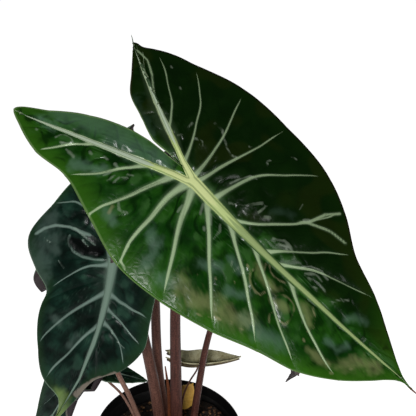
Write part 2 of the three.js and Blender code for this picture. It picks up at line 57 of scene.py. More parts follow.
# %% Camera
camera_place = Vector((0.0223, -0.3453, 0.4683))
pitch_down = math.radians(25.29)
camera_roll = math.radians(2.86)
bpy.ops.object.camera_add()
camera = bpy.context.object
camera.data.lens = 50
camera.data.sensor_width = 36
look_down = Matrix.Rotation(math.pi / 2 - pitch_down, 4, "X") @ Matrix.Rotation(camera_roll, 4, "Z")
camera.matrix_world = Matrix.Translation(camera_place) @ look_down
bpy.context.scene.camera = camera
bpy.context.scene.view_settings.view_transform = "Standard"
print("camera at", tuple(camera_place))

# %% [markdown]
# Materials are node trees. Colours are written as the hex values that a picture editor shows, and
# one function turns them into the linear numbers that light works in. Another turns the real size
# of a pattern into its scale. One more adds a node, sets it up and links it, so each material
# below reads as a list of its layers.

# %% Helpers for materials
# the colour sockets of a Mix node, by number: its factor, its two colours and its result
FACTOR, BELOW, ABOVE, RESULT = 0, 6, 7, 2


def linear(hex_colour):
    """The linear RGBA of an sRGB hex colour."""
    channels = [int(hex_colour[i:i + 2], 16) / 255 for i in (1, 3, 5)]
    return [c / 12.92 if c <= 0.04045 else ((c + 0.055) / 1.055) ** 2.4 for c in channels] + [1.0]


def scale_for(size):
    """The scale, to the nearest 5 cells per metre, of a pattern of swellings size millimetres wide."""
    return 5 * round(1000 / size / 5)


def add(tree, kind, sockets=None, **settings):
    """Adds a node. Each socket is given a value, or another node's output to link."""
    node = tree.nodes.new(kind)
    for name, value in settings.items():
        setattr(node, name, value)
    for socket, value in (sockets or {}).items():
        if isinstance(value, bpy.types.NodeSocket):
            tree.links.new(value, node.inputs[socket])
        else:
            node.inputs[socket].default_value = value
    return node


def new_material(name):
    material = bpy.data.materials.new(name)
    material.use_nodes = True
    tree = material.node_tree
    return material, tree, tree.nodes["Principled BSDF"]


# %% [markdown]
# A product picture of a dark plant is lit so that its glossy leaves mirror a dark room, and only
# some tilted places mirror a lamp. Here the room is dim, and a small soft box stands above and
# behind the camera, where the smooth parts of the big leaf don't mirror it, but its pillows and
# creases do. A wider and weaker box fills in from the front right. The white sweep glows by
# itself, bright behind the plant and dim in front of it.

# %% Floor
DIM_AT, BRIGHT_AT = -0.4, 0.08
DIMMEST = 0.06
floor_finish, tree, surface = new_material("studio_sweep_matt_white")
place = add(tree, "ShaderNodeTexCoord").outputs["Object"]
axes = add(tree, "ShaderNodeSeparateXYZ", {0: place})
sockets = {"Value": axes.outputs["Y"], "From Min": DIM_AT, "From Max": BRIGHT_AT, "To Min": DIMMEST}
glow = add(tree, "ShaderNodeMapRange", sockets).outputs[0]
tree.links.new(glow, surface.inputs["Emission Strength"])
sockets = {FACTOR: glow, BELOW: linear("#949494"), ABOVE: linear("#e4e4e4")}
pale = add(tree, "ShaderNodeMix", sockets, data_type="RGBA").outputs[RESULT]
tree.links.new(pale, surface.inputs["Base Color"])
surface.inputs["Emission Color"].default_value = linear("#ffffff")
surface.inputs["Roughness"].default_value = 0.9
surface.inputs["Specular IOR Level"].default_value = 0.1
bpy.ops.mesh.primitive_plane_add(size=30)
floor = bpy.context.object
floor.name = "studio_floor"
floor.data.materials.append(floor_finish)


# %% Lights
def soft_box(name, place, size, power, aim=(0.02, -0.02, 0.3)):
    """A square area light that faces the plant."""
    bpy.ops.object.light_add(type="AREA", location=place)
    lamp = bpy.context.object
    lamp.name = name
    lamp.data.size = size
    lamp.data.energy = power
    lamp.rotation_euler = (Vector(aim) - Vector(place)).to_track_quat("-Z", "Y").to_euler()
    return lamp


soft_box("key_box_over_camera", (-0.12, -1.24, 1.0), 0.28, 9)
soft_box("fill_box_front", (0.4, -1.35, 0.5), 0.6, 4)
world = bpy.data.worlds.new("dim_studio_room")
bpy.context.scene.world = world
world.use_nodes = True
world.node_tree.nodes["Background"].inputs["Color"].default_value = linear("#e6ebee")
world.node_tree.nodes["Background"].inputs["Strength"].default_value = 0.03

# %% [markdown]
# A leaf blade of this plant is drawn by its veins. Three ribs meet at the navel, where the stalk
# joins: the midrib runs to the drip tip, and one rib runs into each back lobe. Veins leave the
# ribs and reach the margin. The blade is written down as those veins, in millimetres, in its own
# flat plan with x towards the tip. Each rib vein is [where it leaves its rib, bend x, bend y,
# end x, end y], and each hub vein starts with the direction in which it leaves, in degrees. The
# weight says how wide a vein is drawn. The first lines place the leaf in the model: where its navel
# is, where its tip points and its face looks, and how far it folds, cups and droops.

# %% The big front leaf's veins
front_leaf = {
    "navel": (12, -20, 332), "towards": (0.789, -0.349, -0.505), "faces": (0.147, -0.692, 0.707),
    "keel": 0.14, "cup": 0.0022, "tip_droop": 0.0008, "lobe_droop": 0.0012,
    "hub": 4.5, "notch": (-11, -3), "tip": (186, 0), "left_lobe": (-117, 35), "right_lobe": (-97, -54),
    "midrib": {"end": (176, 0), "bend": (87, 10), "wide": 8},
    "left_rib": {"end": (-111, 35), "bend": (-56, 22), "wide": 5.4},
    "right_rib": {"end": (-91, -49), "bend": (-50, -23), "wide": 3.8},
    "left_inner": [[13, -18, 0, -22, -2.9], [30, -37, 3, -43, -2.4], [65, -72, 15, -77, 8],
                   [90, -95, 25, -99, 22]],
    "left_outer": [[13, -22, 33, -32, 58], [30, -41, 31, -58.5, 49], [65, -73, 34, -84, 48.5],
                   [90, -96, 36, -104, 42]],
    "left_hub": [[110, -7, 38, 2, 69], [55, 18, 36, 35, 68]],
    "left_veins": [[17, 40, 34, 68, 61], [37, 65, 28, 94, 52], [57, 86, 27, 118.5, 45],
                   [86, 113, 28, 143, 30.5], [120, 143, 16, 160, 16], [142, 158, 7, 169, 7.5],
                   [160, 170, 2.4, 176, 2.4]],
    "right_veins": [[17, 28, -43, 63, -65], [37, 69, -19, 84, -53.5], [63, 82, -19, 106, -36],
                    [74, 101, -17, 134, -24], [126, 138, -6, 150, -15], [146, 158, -4, 167, -5.5],
                    [160, 170, -1.4, 176, -1.6]],
    "right_hub": [[-55, 14, -36, 21, -73.5], [-110, -2, -40, -18, -75.5]],
    "right_outer": [[14, -24, -44, -55.5, -67], [27, -38, -46, -70, -64], [38, -44, -38, -82, -59],
                    [54, -72, -35, -90, -55], [76, -84, -44, -95, -55]],
    "right_inner": [[14, -17, -5, -20, -3.8], [38, -37, -10, -36, -4.6], [49, -51, -16, -53, -12],
                    [62, -66, -24, -69, -20], [80, -79, -33, -79, -32]],
    "weight": {"left_inner": 0.05, "left_outer": [0.95, 0.95, 0.85, 0.05], "left_hub": 1.05,
               "left_veins": [0.95, 0.95, 0.9, 0.85, 0.05, 0.05, 0.05],
               "right_veins": [0.6, 0.6, 0.6, 0.65, 0.05, 0.05, 0.05], "right_hub": 0.55,
               "right_outer": [0.5, 0.05, 0.5, 0.3, 0.25], "right_inner": 0.05},
}

# %% [markdown]
# The second leaf hangs at the left, with fewer veins. One of them bends back over the dent in its
# upper corner.

# %% The hanging second leaf's veins
second_leaf = {
    "navel": (-40, -10, 268), "towards": (-0.351, -0.28, -0.894), "faces": (-0.24, -0.896, 0.375),
    "keel": 0.18, "cup": 0.0028, "tip_droop": 0.0008, "lobe_droop": 0.0025,
    "hub": 4, "notch": (-10, 0), "tip": (138, 0), "left_lobe": (-46, 40), "right_lobe": (-40, -25),
    "midrib": {"end": (130, -2), "bend": (62, -20), "wide": 6.5},
    "left_rib": {"end": (-42, 38), "bend": (-16, 16), "wide": 4},
    "right_rib": {"end": (-36, -22), "bend": (-16, -12), "wide": 4},
    "left_inner": [[14, -16, 6, -18, 3], [36, -34, 22, -36, 19]],
    "left_outer": [[14, -17, 40, 17, 62.5], [36, -28, 46, -15, 55.5]],
    "left_hub": [[95, 10, 26, 30, 50]],
    "left_veins": [[4, 12, 20, 42, 35], [14, 36, 26, 52, 35.5], [24, 61, 28, 83, 27],
                   [49, 78, 8, 104, 15], [90, 106, -1, 112, 1.5]],
    "right_veins": [[24, 22, -24, 25, -41], [34, 33, -18, 45, -44.5], [44, 44, -27, 65, -37],
                    [64, 72, -17, 84, -20], [90, 99, -9, 107, -11.5]],
    "right_hub": [[-100, 2, -20, 4, -37]],
    "right_outer": [[14, -12, -22, -12, -34], [30, -26, -26, -30, -33]],
    "right_inner": [[14, -16, -6, -18, -4], [30, -30, -15, -31, -12]],
    "weight": {"left_inner": 0.2, "right_inner": 0.2, "left_outer": [0.05, 0.55], "left_hub": 0.05,
               "left_veins": [0.65, 0.05, 0.75, 0.85, 0.05], "right_veins": [0.7, 0.65, 0.75, 0.05, 0.05],
               "right_hub": 0.7, "right_outer": 0.6},
}

# %% [markdown]
# The smaller leaves are the same shape with fewer veins, so one function draws such a leaf from
# its length, the length of its lobes and its half width.

# %% Plain leaves of the same kind
def plain_leaf(length, lobes, width, bend=0, hub=2.5, wide=3, blunt=0.19, spread=0.5, **rest):
    """A leaf whose veins are set at shares of its length a, its lobes' length b and half width w."""
    a, b, w = length, lobes, width
    leaf = {
        "hub": hub, "notch": (-0.18 * b - hub, 0), "tip": (a, bend),
        "midrib": {"end": (0.95 * a, 0.9 * bend), "bend": (0.5 * a, -0.4 * bend), "wide": wide},
        "weight": {"left_inner": 0.05, "right_inner": 0.05, "left_outer": 0.5, "right_outer": 0.5,
                   "left_hub": 0.5, "right_hub": 0.5, "left_veins": 0.55, "right_veins": 0.55},
    }
    for side, sign in (("left", 1), ("right", -1)):
        rib_end = (-0.93 * b, (spread - 0.03) * w * sign)
        rib_bend = (-0.45 * b, (spread - 0.24) * w * sign)
        leaf[side + "_rib"] = {"end": rib_end, "bend": rib_bend, "wide": 0.6 * wide}
        leaf[side + "_lobe"] = (-b, spread * w * sign)
        leaf[side + "_outer"] = [
            [0.2 * b, -0.25 * b, 0.5 * w * sign, -0.3 * b, 0.9 * w * sign],
            [0.55 * b, -0.6 * b, (spread + 0.1) * w * sign, -0.72 * b, (spread + 0.28) * w * sign],
        ]
        leaf[side + "_inner"] = [
            [0.2 * b, -0.24 * b, 0.06 * w * sign, -0.32 * b, 0.06 * w * sign],
            [0.55 * b, -0.62 * b, (spread - 0.3) * w * sign, -0.72 * b, (spread - 0.3) * w * sign],
        ]
        leaf[side + "_hub"] = [[70 * sign, 0.1 * a, 0.5 * w * sign, 0.17 * a, w * sign]]
        leaf[side + "_veins"] = [
            [0.12 * a, 0.3 * a, 0.5 * w * sign, 0.45 * a, 0.82 * w * sign + 0.05 * bend],
            [0.36 * a, 0.56 * a, 0.35 * w * sign, 0.7 * a, 0.5 * w * sign + 0.3 * bend],
            [0.64 * a, 0.76 * a, 0.18 * w * sign + 0.3 * bend, 0.9 * a, blunt * w * sign + 0.72 * bend],
        ]
    return {**leaf, **rest}


low_leaf = plain_leaf(
    128, 38, 27, wide=3.5, hub=2.2, navel=(-57, 15, 181), towards=(-0.48, -0.12, -0.87),
    faces=(-0.3, -0.85, 0.4), keel=0.15, cup=0.004, tip_droop=0.0003, lobe_droop=0.002,
    roll={"side": -1, "radius": 3.6, "x": (0, 18, 34, 41, 52, 68, 95, 128),
          "line": (26, 16, 16.5, 9, 8.5, 11.5, 6, 3)})
small_leaf = plain_leaf(
    43, 18, 12, wide=2, hub=1.6, navel=(-62, 36, 133), towards=(0.95, 0.1, -0.3),
    faces=(0.3, -0.1, 0.95), keel=0.15, cup=0.006, tip_droop=0.001, lobe_droop=0.004)
back_leaf = plain_leaf(
    132, 42, 38, bend=2, wide=5, hub=3.5, blunt=0.4, spread=0.8,
    navel=(-35, 36, 312.5), towards=(-0.605, 0.104, -0.79), faces=(-0.497, 0.725, 0.476),
    keel=0.15, cup=0.0028, tip_droop=0.0006, lobe_droop=0.0015,
    right_outer=[[8, -10, -15, -11, -28], [23, -24, -27, -28, -34]], right_hub=[[-70, 13, -16, 22, -27]],
    right_veins=[[16, 40, -15, 59, -24], [48, 74, -11, 92, -17], [84, 100, -5, 119, -12]])
right_leaf = plain_leaf(
    147, 46, 36, bend=-4, wide=4, hub=2.5, blunt=0.06,
    navel=(51, 20, 264), towards=(0.42, 0.1, -0.9), faces=(0.35, 0.85, 0.4),
    keel=0.15, cup=0.003, tip_droop=0.0002, lobe_droop=0.0015,
    midrib={"end": (133, -3), "bend": (74, 13), "wide": 4}, tip=(147, -19))
dry_leaf = plain_leaf(
    36, 26, 13, wide=1.6, hub=1.4, navel=(20, 33, 146), towards=(0.98, 0.1, 0),
    faces=(0, 0.25, 0.97), keel=0.9, cup=0.015, tip_droop=-0.005, lobe_droop=-0.01)
yellow_leaf = plain_leaf(
    17, 8, 11, wide=1.6, hub=1.4, navel=(8, 29, 110), towards=(0.5, 0.1, 0.85),
    faces=(0, -0.95, 0.3), keel=0.1, cup=0.02, tip_droop=0.01, lobe_droop=0.01)
plain_leaves = (low_leaf, small_leaf, back_leaf, right_leaf, dry_leaf, yellow_leaf)
print("plain leaves, navel to tip in mm:", [leaf["tip"][0] for leaf in plain_leaves])

# %% [markdown]
# First the veins are put in order, once round the blade. A vein leaves the side of its rib, not
# the middle, because the ribs have a width that tapers outwards.

# %% Veins in order round a blade
RIB_TAPER = 0.8


def curve_between(start, bend, end, t):
    """Points of a quadratic curve; t may be an array."""
    t = np.asarray(t, float)[..., None]
    return (1 - t) ** 2 * np.asarray(start) + 2 * t * (1 - t) * np.asarray(bend) + t * t * np.asarray(end)


def rib_side(rib, along, side):
    """The point on the rib's left (1) or right (-1) side that is along mm from its start."""
    end = np.array(rib["end"], float)
    t = along / np.linalg.norm(end)
    middle, ahead = curve_between((0, 0), rib["bend"], end, [t, t + 0.01])
    ahead = (ahead - middle) / np.linalg.norm(ahead - middle)
    half = side * rib["wide"] * (1 - RIB_TAPER * t) / 2
    return middle + half * np.array((-ahead[1], ahead[0]))


def veins_round(leaf):
    """Each vein as (kind, weight, start, bend, end), once round from the notch."""
    veins = []

    def weighted(group):
        weights = np.broadcast_to(leaf["weight"].get(group, 1.0), len(leaf[group]))
        return list(zip(leaf[group], weights))

    def on_rib(rib, side, group, last_first=False):
        rows = weighted(group)[::-1] if last_first else weighted(group)
        for (along, *rest), weight in rows:
            start = rib_side(leaf[rib], along, side)
            veins.append(("rib", weight, start, rest[:2], rest[2:]))

    def on_hub(group):
        for (degrees, *rest), weight in weighted(group):
            angle = math.radians(degrees)
            start = np.array((math.cos(angle), math.sin(angle))) * leaf["hub"]
            veins.append(("hub", weight, start, rest[:2], rest[2:]))

    def at_end(kind, rib, tip):
        start = np.array(leaf[rib]["end"], float)
        veins.append((kind, 0.8, start, (start + leaf[tip]) / 2, leaf[tip]))

    hub_back = np.array((-leaf["hub"], 0.0))
    veins.append(("notch", 0.1, hub_back, (hub_back + leaf["notch"]) / 2, leaf["notch"]))
    on_rib("left_rib", 1, "left_inner")
    at_end("rounded", "left_rib", "left_lobe")
    on_rib("left_rib", -1, "left_outer", last_first=True)
    on_hub("left_hub")
    on_rib("midrib", 1, "left_veins")
    at_end("pointed", "midrib", "tip")
    on_rib("midrib", -1, "right_veins", last_first=True)
    on_hub("right_hub")
    on_rib("right_rib", 1, "right_outer")
    at_end("pointed", "right_rib", "right_lobe")
    on_rib("right_rib", -1, "right_inner", last_first=True)
    return [(kind, weight, *(np.array(point, float) for point in points))
            for kind, weight, *points in veins]


# %% [markdown]
# Between two veins lies a panel of the blade. It is bounded by the rib, the two veins and the
# margin, and a patch is stretched between those four lines. The margin is a smooth curve through
# the vein ends, with corners only at the pointed tips and at the notch.

# %% The panel between two veins
def margin_between(veins, k, t):
    """Points of the margin from the end of vein k to the end of the next; t may be an array."""
    def pick(i):
        return veins[i % len(veins)]

    def slope(before, at, after):
        a, b = at[4] - before[4], after[4] - at[4]
        size_a, size_b = np.linalg.norm(a), np.linalg.norm(b)
        return (a * size_b / size_a + b * size_a / size_b) * np.linalg.norm(chord) / (size_a + size_b)

    here, following = pick(k), pick(k + 1)
    chord = following[4] - here[4]
    corners = ("pointed", "notch")
    leave = None if here[0] in corners else slope(pick(k - 1), here, following)
    arrive = None if following[0] in corners else slope(here, following, pick(k + 2))
    if leave is None and arrive is None:
        leave = arrive = chord
    leave = 1.5 * chord - 0.5 * arrive if leave is None else leave
    arrive = 1.5 * chord - 0.5 * leave if arrive is None else arrive
    t = np.asarray(t, float)[..., None]
    ends = here[4] * (2 * t**3 - 3 * t * t + 1) + following[4] * (3 * t * t - 2 * t**3)
    return ends + leave * (t**3 - 2 * t * t + t) + arrive * (t**3 - t * t)


def panel_points(veins, k, s, t):
    """Plan points, an array of len(t) by len(s): s from rib to margin, t from vein to vein."""
    *_, from_a, bend_a, to_a = veins[k]
    *_, from_b, bend_b, to_b = veins[(k + 1) % len(veins)]
    across, out = t[:, None, None], s[None, :, None]
    vein_a = curve_between(from_a, bend_a, to_a, s)[None]
    vein_b = curve_between(from_b, bend_b, to_b, s)[None]
    root = from_a + (from_b - from_a) * across
    margin = margin_between(veins, k, t)[:, None, :]
    straight_a, straight_b = from_a * (1 - out) + to_a * out, from_b * (1 - out) + to_b * out
    corners = straight_a * (1 - across) + straight_b * across
    return vein_a * (1 - across) + vein_b * across + root * (1 - out) + margin * out - corners


# %% [markdown]
# A living blade isn't flat. Its halves rise from the midrib like a shallow V and curve down at the sides.
# Each panel is puffed up between its veins, and the puff is broken into pillows with creases between them,
# and fine ripples run out from the veins. All of it is real relief and not only shading, because it makes the
# broken white highlights that a glossy leaf shows. The material also paints the hollows of this relief darker
# as painted shade, and its crests and ripples paler as painted highlights.

# %% The blade's relief, in millimetres
FOLD_RADIUS = 3
PUFF_SHARE = 0.06


def blade_height(leaf, x, y):
    """The smooth blade's height over its plan, without any relief."""
    fold = leaf["keel"] * (np.hypot(y, FOLD_RADIUS) - FOLD_RADIUS) - leaf["cup"] * y * y
    return fold - np.where(x > 0, leaf["tip_droop"], leaf["lobe_droop"]) * x * x


def rolled_across(leaf, x, y):
    """Where a rolled margin takes a point: its place across, its lift, and how far it still faces up."""
    if "roll" not in leaf:
        return y, 0 * y, 1 + 0 * y
    roll = leaf["roll"]
    line = np.interp(x, roll["x"], roll["line"])
    turn = (roll["side"] * y - line) / roll["radius"]
    arc = np.maximum(turn, 0)
    rolled = roll["side"] * (line + roll["radius"] * np.sin(arc))
    return np.where(turn > 0, rolled, y), roll["radius"] * (1 - np.cos(arc)), np.cos(arc)


def panel_puff(width, s, t):
    """How far a panel swells: s from rib to margin, t from vein to vein."""
    return PUFF_SHARE * width * (1 - abs(2 * t - 1) ** 3) * np.minimum(1, 4 * s) * (1 - 0.7 * s * s)


def smooth_noise(x, y, size, seed):
    """Blender's smooth noise over the plan; size is the spacing of its swellings."""
    places = zip(x.ravel() / size, y.ravel() / size)
    return np.array([noise.noise(Vector((a, b, seed))) for a, b in places]).reshape(x.shape)


def puckers(x, y, reach, between, outward):
    """Pillows, creases and ripples between the veins, and the ripples alone."""
    # pillows 9 and 4 mm across, and creases where a slower swelling passes through zero
    pillows = 0.62 * smooth_noise(x, y, 9, 3.7) + 0.22 * smooth_noise(x, y, 4, 9.1)
    creases = 0.45 * np.exp(-((smooth_noise(x, y, 16, 8.8) / 0.06) ** 2))
    # ripples 3.8 mm apart, in patches beside the veins
    patches = np.clip(3 * smooth_noise(x, y, 18, 2.4), 0, 1)
    near_vein = np.clip(1.6 * between, 0, 1) * np.clip(1.3 - 1.3 * between, 0, 1)
    ripples = np.sin(2 * math.pi * (reach / 3.8 + 1.2 * smooth_noise(x, y, 22, 5.2)))
    ripples = ripples * patches * near_vein * (1 - outward)
    room = np.sqrt(np.clip(between, 0, 1)) * np.clip(1.9 - 1.8 * outward, 0.2, 2)
    return room * (pillows - creases) + 0.24 * ripples, ripples


# %% [markdown]
# The whole blade is one sheet: a grid primitive whose columns run round the leaf from the notch
# back to the notch, and whose rows run from the middle of the rib out to the margin. Opposite
# columns of a rib share their first vertex, so merging by distance sews the sheet along its ribs
# and at the hub. Placing a grid by formula gives veins that meet the margin where they should,
# which pushing a plane about by hand wouldn't.

# %% A grid sheet and its attributes
def grid_sheet(name, columns, rows):
    """A flat grid; returns the piece and, for each vertex, its column and row."""
    bpy.ops.object.select_all(action="DESELECT")
    bpy.ops.mesh.primitive_grid_add(x_subdivisions=columns - 1, y_subdivisions=rows - 1, size=1)
    piece = bpy.context.object
    piece.name = name
    flat = np.empty(len(piece.data.vertices) * 3)
    piece.data.vertices.foreach_get("co", flat)
    flat = flat.reshape(-1, 3)
    column = np.rint((flat[:, 0] + 0.5) * (columns - 1)).astype(int)
    row = np.rint((flat[:, 1] + 0.5) * (rows - 1)).astype(int)
    return piece, column, row


def place_vertices(piece, places):
    piece.data.vertices.foreach_set("co", np.ascontiguousarray(places, float).ravel())
    piece.data.update()


def store(piece, name, values):
    """Keeps one number for each vertex, for the materials to read."""
    layer = piece.data.attributes.new(name, "FLOAT", "POINT")
    layer.data.foreach_set("value", np.ascontiguousarray(values, np.float32))


def set_uv(piece, u, v):
    corners = np.empty(len(piece.data.loops), int)
    piece.data.loops.foreach_get("vertex_index", corners)
    uv = np.stack([u[corners], v[corners]], 1)
    piece.data.uv_layers[0].uv.foreach_set("vector", uv.astype(np.float32).ravel())


def merge_and_smooth(piece, distance=0.00002):
    bpy.ops.object.mode_set(mode="EDIT")
    bpy.ops.mesh.select_all(action="SELECT")
    bpy.ops.mesh.remove_doubles(threshold=distance)
    bpy.ops.mesh.dissolve_degenerate(threshold=distance / 10)
    bpy.ops.object.mode_set(mode="OBJECT")
    bpy.ops.object.shade_smooth()


# %% [markdown]
# Each column is paired with the one across its rib. The middle of the pair is the rib's own
# centre, and more rows between it and the rib's edge give the rib a rounded crown. At the hub the
# ribs meet, so the columns there start from the navel. Wide panels get more columns than narrow
# ones, and both panels of a pair get the same number.

# %% Columns and rib centres
RIB_ROWS = 4


def rib_middles(leaf):
    """For each rib, the numbers of the veins at its first side's start, its end, and its last start."""
    left_end = len(leaf["left_inner"]) + 1
    left_hub = left_end + len(leaf["left_outer"]) + 1
    left_last = left_hub + len(leaf["left_hub"]) - 1
    tip_end = left_last + len(leaf["left_veins"]) + 1
    right_hub = tip_end + len(leaf["right_veins"]) + 1
    right_last = right_hub + len(leaf["right_hub"]) - 1
    right_end = right_last + len(leaf["right_outer"]) + 1
    total = right_end + len(leaf["right_inner"]) + 1
    return (0, left_end, left_hub), (left_last, tip_end, right_hub), (right_last, right_end, total)


def columns_each(leaf, widths, spacing):
    """How many columns each panel gets."""
    counts = np.clip(np.rint(widths / spacing), 7, 60).astype(int)
    for first, middle, last in rib_middles(leaf):
        for k in range(first, middle):
            mirrored = 2 * middle - 1 - k
            counts[k] = counts[mirrored] = max(counts[k], counts[mirrored])
    return counts


def column_plan(leaf, starts, roots):
    """The order of the columns round the blade, each with the point where its rows start."""
    total = starts[-1]
    navel = np.zeros(2)
    order = [(0, navel)]
    hub_first = 0
    for first, middle, last in (tuple(starts[k] for k in rib) for rib in rib_middles(leaf)):
        if first:
            order += [(column, navel) for column in range(hub_first, first + 1)]
        for column in range(first, last + 1):
            opposite = (2 * middle - column) % total
            order.append((column % total, (roots[column % total] + roots[opposite]) / 2))
        hub_first = last
    order.append((0, navel))
    return order


# %% [markdown]
# A real leaf is also written over with small things: forked and hooked veins, thin raised creases that glint,
# whose pale colour is a painted highlight, rings where drops have dried, tan scars along the margin, and
# places where the skin has lifted and looks greyish, painted paler still as painted sheen. Some marks are
# painted light outright: a band of painted glare beside the left rib, straw-pale streaks that are partly the
# tissue's colour and partly painted sheen, and dents that are painted near black as painted shade. These
# marks are set down as lines in the leaf's own plan. For every vertex the distance to the nearest mark is
# kept, counted in half widths of that mark. Each mark is its half width and its points, in millimetres.

# %% Marks on the front leaf
front_marks = {
    "extra": [
        (0.8, [(66, -26), (70, -29.6), (75, -42), (82, -50)]),
        (0.8, [(70, -29.6), (84, -35.5), (96, -37)]),
        (0.6, [(-90, -50), (-79, -48), (-68.6, -40.5), (-58, -30)]),
        (0.6, [(-28, 48), (-30, 54), (-30.6, 57), (-29, 60), (-23, 64.7)]),
        (0.6, [(-1, 56), (0, 61), (1.8, 66), (7, 67.5)]),
    ],
    # glints: raised creases whose pale colour is a painted highlight
    "glint": [
        (0.7, [(-41, 34.5), (-39.5, 30)]), (0.7, [(-37, 35.5), (-36, 30)]), (0.7, [(-33.5, 34), (-33, 29)]),
        (0.7, [(-32, 28), (-29, 26)]), (0.7, [(-31, 24.5), (-28, 23)]),
        (0.7, [(-80.6, 34), (-79.6, 31), (-77, 29), (-73.6, 28.4), (-71, 29.4), (-72, 32), (-76, 34.6)]),
        (0.9, [(-94.7, 37), (-93.5, 37.4)]), (0.9, [(-58, 28), (-56, 28.6)]), (0.9, [(-49, 25), (-47, 25)]),
        (0.8, [(-70, 36), (-63, 37)]), (0.8, [(-41.5, 24), (-39, 24.5)]),
        (0.7, [(-23, 41), (-19.5, 44.2), (-17, 44.2), (-14, 42.5)]),
        (0.7, [(6, 17), (6.7, 22.5)]), (0.8, [(14.7, 7.4), (17.5, 13.7)]),
        (0.9, [(24.5, 18.4), (25.5, 19.6)]),
        (0.8, [(-64.5, -54.8), (-63, -54)]), (0.8, [(-48.5, -44.8), (-47, -44)]),
        (0.9, [(-26.8, -17.4), (-25, -19)]), (0.8, [(-25.3, -25.3), (-25.3, -29)]),
        (0.7, [(-17.6, -22), (-12, -23.3)]), (0.7, [(-12.2, -20.5), (-10.5, -21)]),
        (0.7, [(-15, -39), (-8.3, -38.7), (-3.4, -34.6), (2.4, -30.5), (6.4, -28.7), (10, -30.3)]),
        (0.7, [(18.2, -14.4), (21, -20.7), (24.4, -26.6), (29.4, -28.7)]),
        (0.8, [(11.2, -42.3), (12.5, -43)]),
        (0.7, [(27.7, -40.3), (25.5, -42), (27, -44)]), (0.7, [(35.6, -57.2), (39, -58)]),
        (0.8, [(25.9, -5.2), (34, -10), (41, -18.4)]), (0.7, [(42.7, -12.2), (44, -18.6)]),
        (1.0, [(47.5, -12.8), (50, -14.8)]), (1.0, [(67.2, -29), (70, -31)]), (0.7, [(60, -37), (61, -32.5)]),
        (0.8, [(84, -5), (88, -9.5), (95, -12), (101, -11)]), (0.8, [(88, -4), (93, -8), (99, -7.5)]),
        (0.8, [(92, -3), (98, -5.5), (104, -4.5)]), (0.8, [(60, -6), (66, -10), (73, -9), (77, -6)]),
        (0.8, [(64, -6), (69, -8), (72, -6)]), (0.8, [(30, 9), (33, 14), (33, 20)]),
        (0.9, [(22, 9), (26, 14)]),
        (0.7, [(50, 22.7), (51.5, 26)]), (0.7, [(54.3, 26.9), (55, 23)]), (0.7, [(58.6, 24.4), (57.5, 21)]),
        (0.8, [(102.6, 17.1), (104.5, 21), (105, 25.7)]), (0.8, [(111, -1.5), (115, -7.3)]),
        (0.8, [(97, -1.5), (100, -2.4)]), (0.7, [(116.8, -8.2), (119, -11)]),
    ],
    # lifted greyish skin, painted paler as painted sheen as well
    "lifted_skin_and_sheen": [
        (3.4, [(4, 43), (12, 48), (13, 53), (13.6, 58)]), (3.2, [(25.7, 59), (32, 57)]),
        (3.2, [(-59, 40), (-45, 33)]), (3.8, [(76, 44), (88, 44), (101, 40)]),
        (2.4, [(49, -17.4), (52.9, -21.9), (58.4, -25.4)]), (2.2, [(48, 22), (56, 24)]),
        (2.0, [(125.4, -0.9), (128.9, -7.2), (137, -8.5)]), (1.8, [(135.5, 10.6), (131.6, 18.1)]),
        (1.8, [(127.9, 17.6), (121.8, 18.4)]), (4.5, [(-62, -17), (-52, -11), (-42, -7)]),
        (3.0, [(-98, 30), (-88, 29)]), (2.6, [(-27, 48), (-17, 52)]),
        (2.6, [(38, 36), (46, 31)]), (2.6, [(60, 38), (68, 33)]),
    ],
    # a painted glare: a pale band beside the left rib
    "painted_glare": [(8.5, [(-92, 18), (-78, 12.5), (-66, 9), (-53, 7), (-40, 6), (-24, 3)])],
    "scar": [
        (0.8, [(37.8, 59.5), (39.5, 60)]), (0.9, [(54, 59.6), (57, 58)]), (1.0, [(60, 56), (66, 52.8)]),
        (0.9, [(71.8, 50), (74, 49.6)]), (0.9, [(78, 49.5), (80, 48.5)]), (1.0, [(135.5, 31), (137.5, 30)]),
        (0.9, [(144, 21), (145.5, 19.8)]), (0.8, [(150.5, 4), (151.8, 3.4)]),
        (0.7, [(58.3, 18.1), (59, 18.6)]),
        (0.7, [(58.5, 31), (59.4, 31.4)]), (0.7, [(39.7, 42.7), (40.5, 43)]),
        (0.7, [(48.6, 36.9), (49.5, 37)]),
        (0.8, [(111, 28), (111.8, 28.4)]), (1.2, [(-24, 45), (-22.6, 49)]),
        (0.8, [(62.5, 17.4), (62.2, 20), (63.7, 22.9), (66, 25), (68.8, 26.2), (72, 26.8),
               (75, 26.1), (76, 23)]),
        (0.7, [(68.5, 8), (70.5, 10.5), (74, 11.6), (78.3, 11), (82.6, 9.1)]),
        (0.7, [(66, 8.5), (68, 13)]),
        (0.8, [(82.2, 20), (85, 17), (89.4, 15.4), (93.9, 16.4), (96.4, 20), (97.6, 25),
               (97, 29), (92, 30)]),
        (0.7, [(88, 26), (86, 31), (89, 35)]), (0.7, [(104, 9), (109, 13), (112, 18), (110, 23)]),
    ],
    # straw-pale streaks, partly the tissue's colour and partly painted sheen
    "straw_and_sheen": [
        (5, [(38, 55), (58, 51), (78, 45)]), (3.4, [(138, 24), (148, 14), (158, 6)]),
        (2, [(118, 30), (132, 29)]), (2.4, [(64, 14), (72, 18), (80, 17)]),
        (2.4, [(84, 24), (92, 22)]), (2.4, [(100, 12), (108, 18)]),
    ],
}

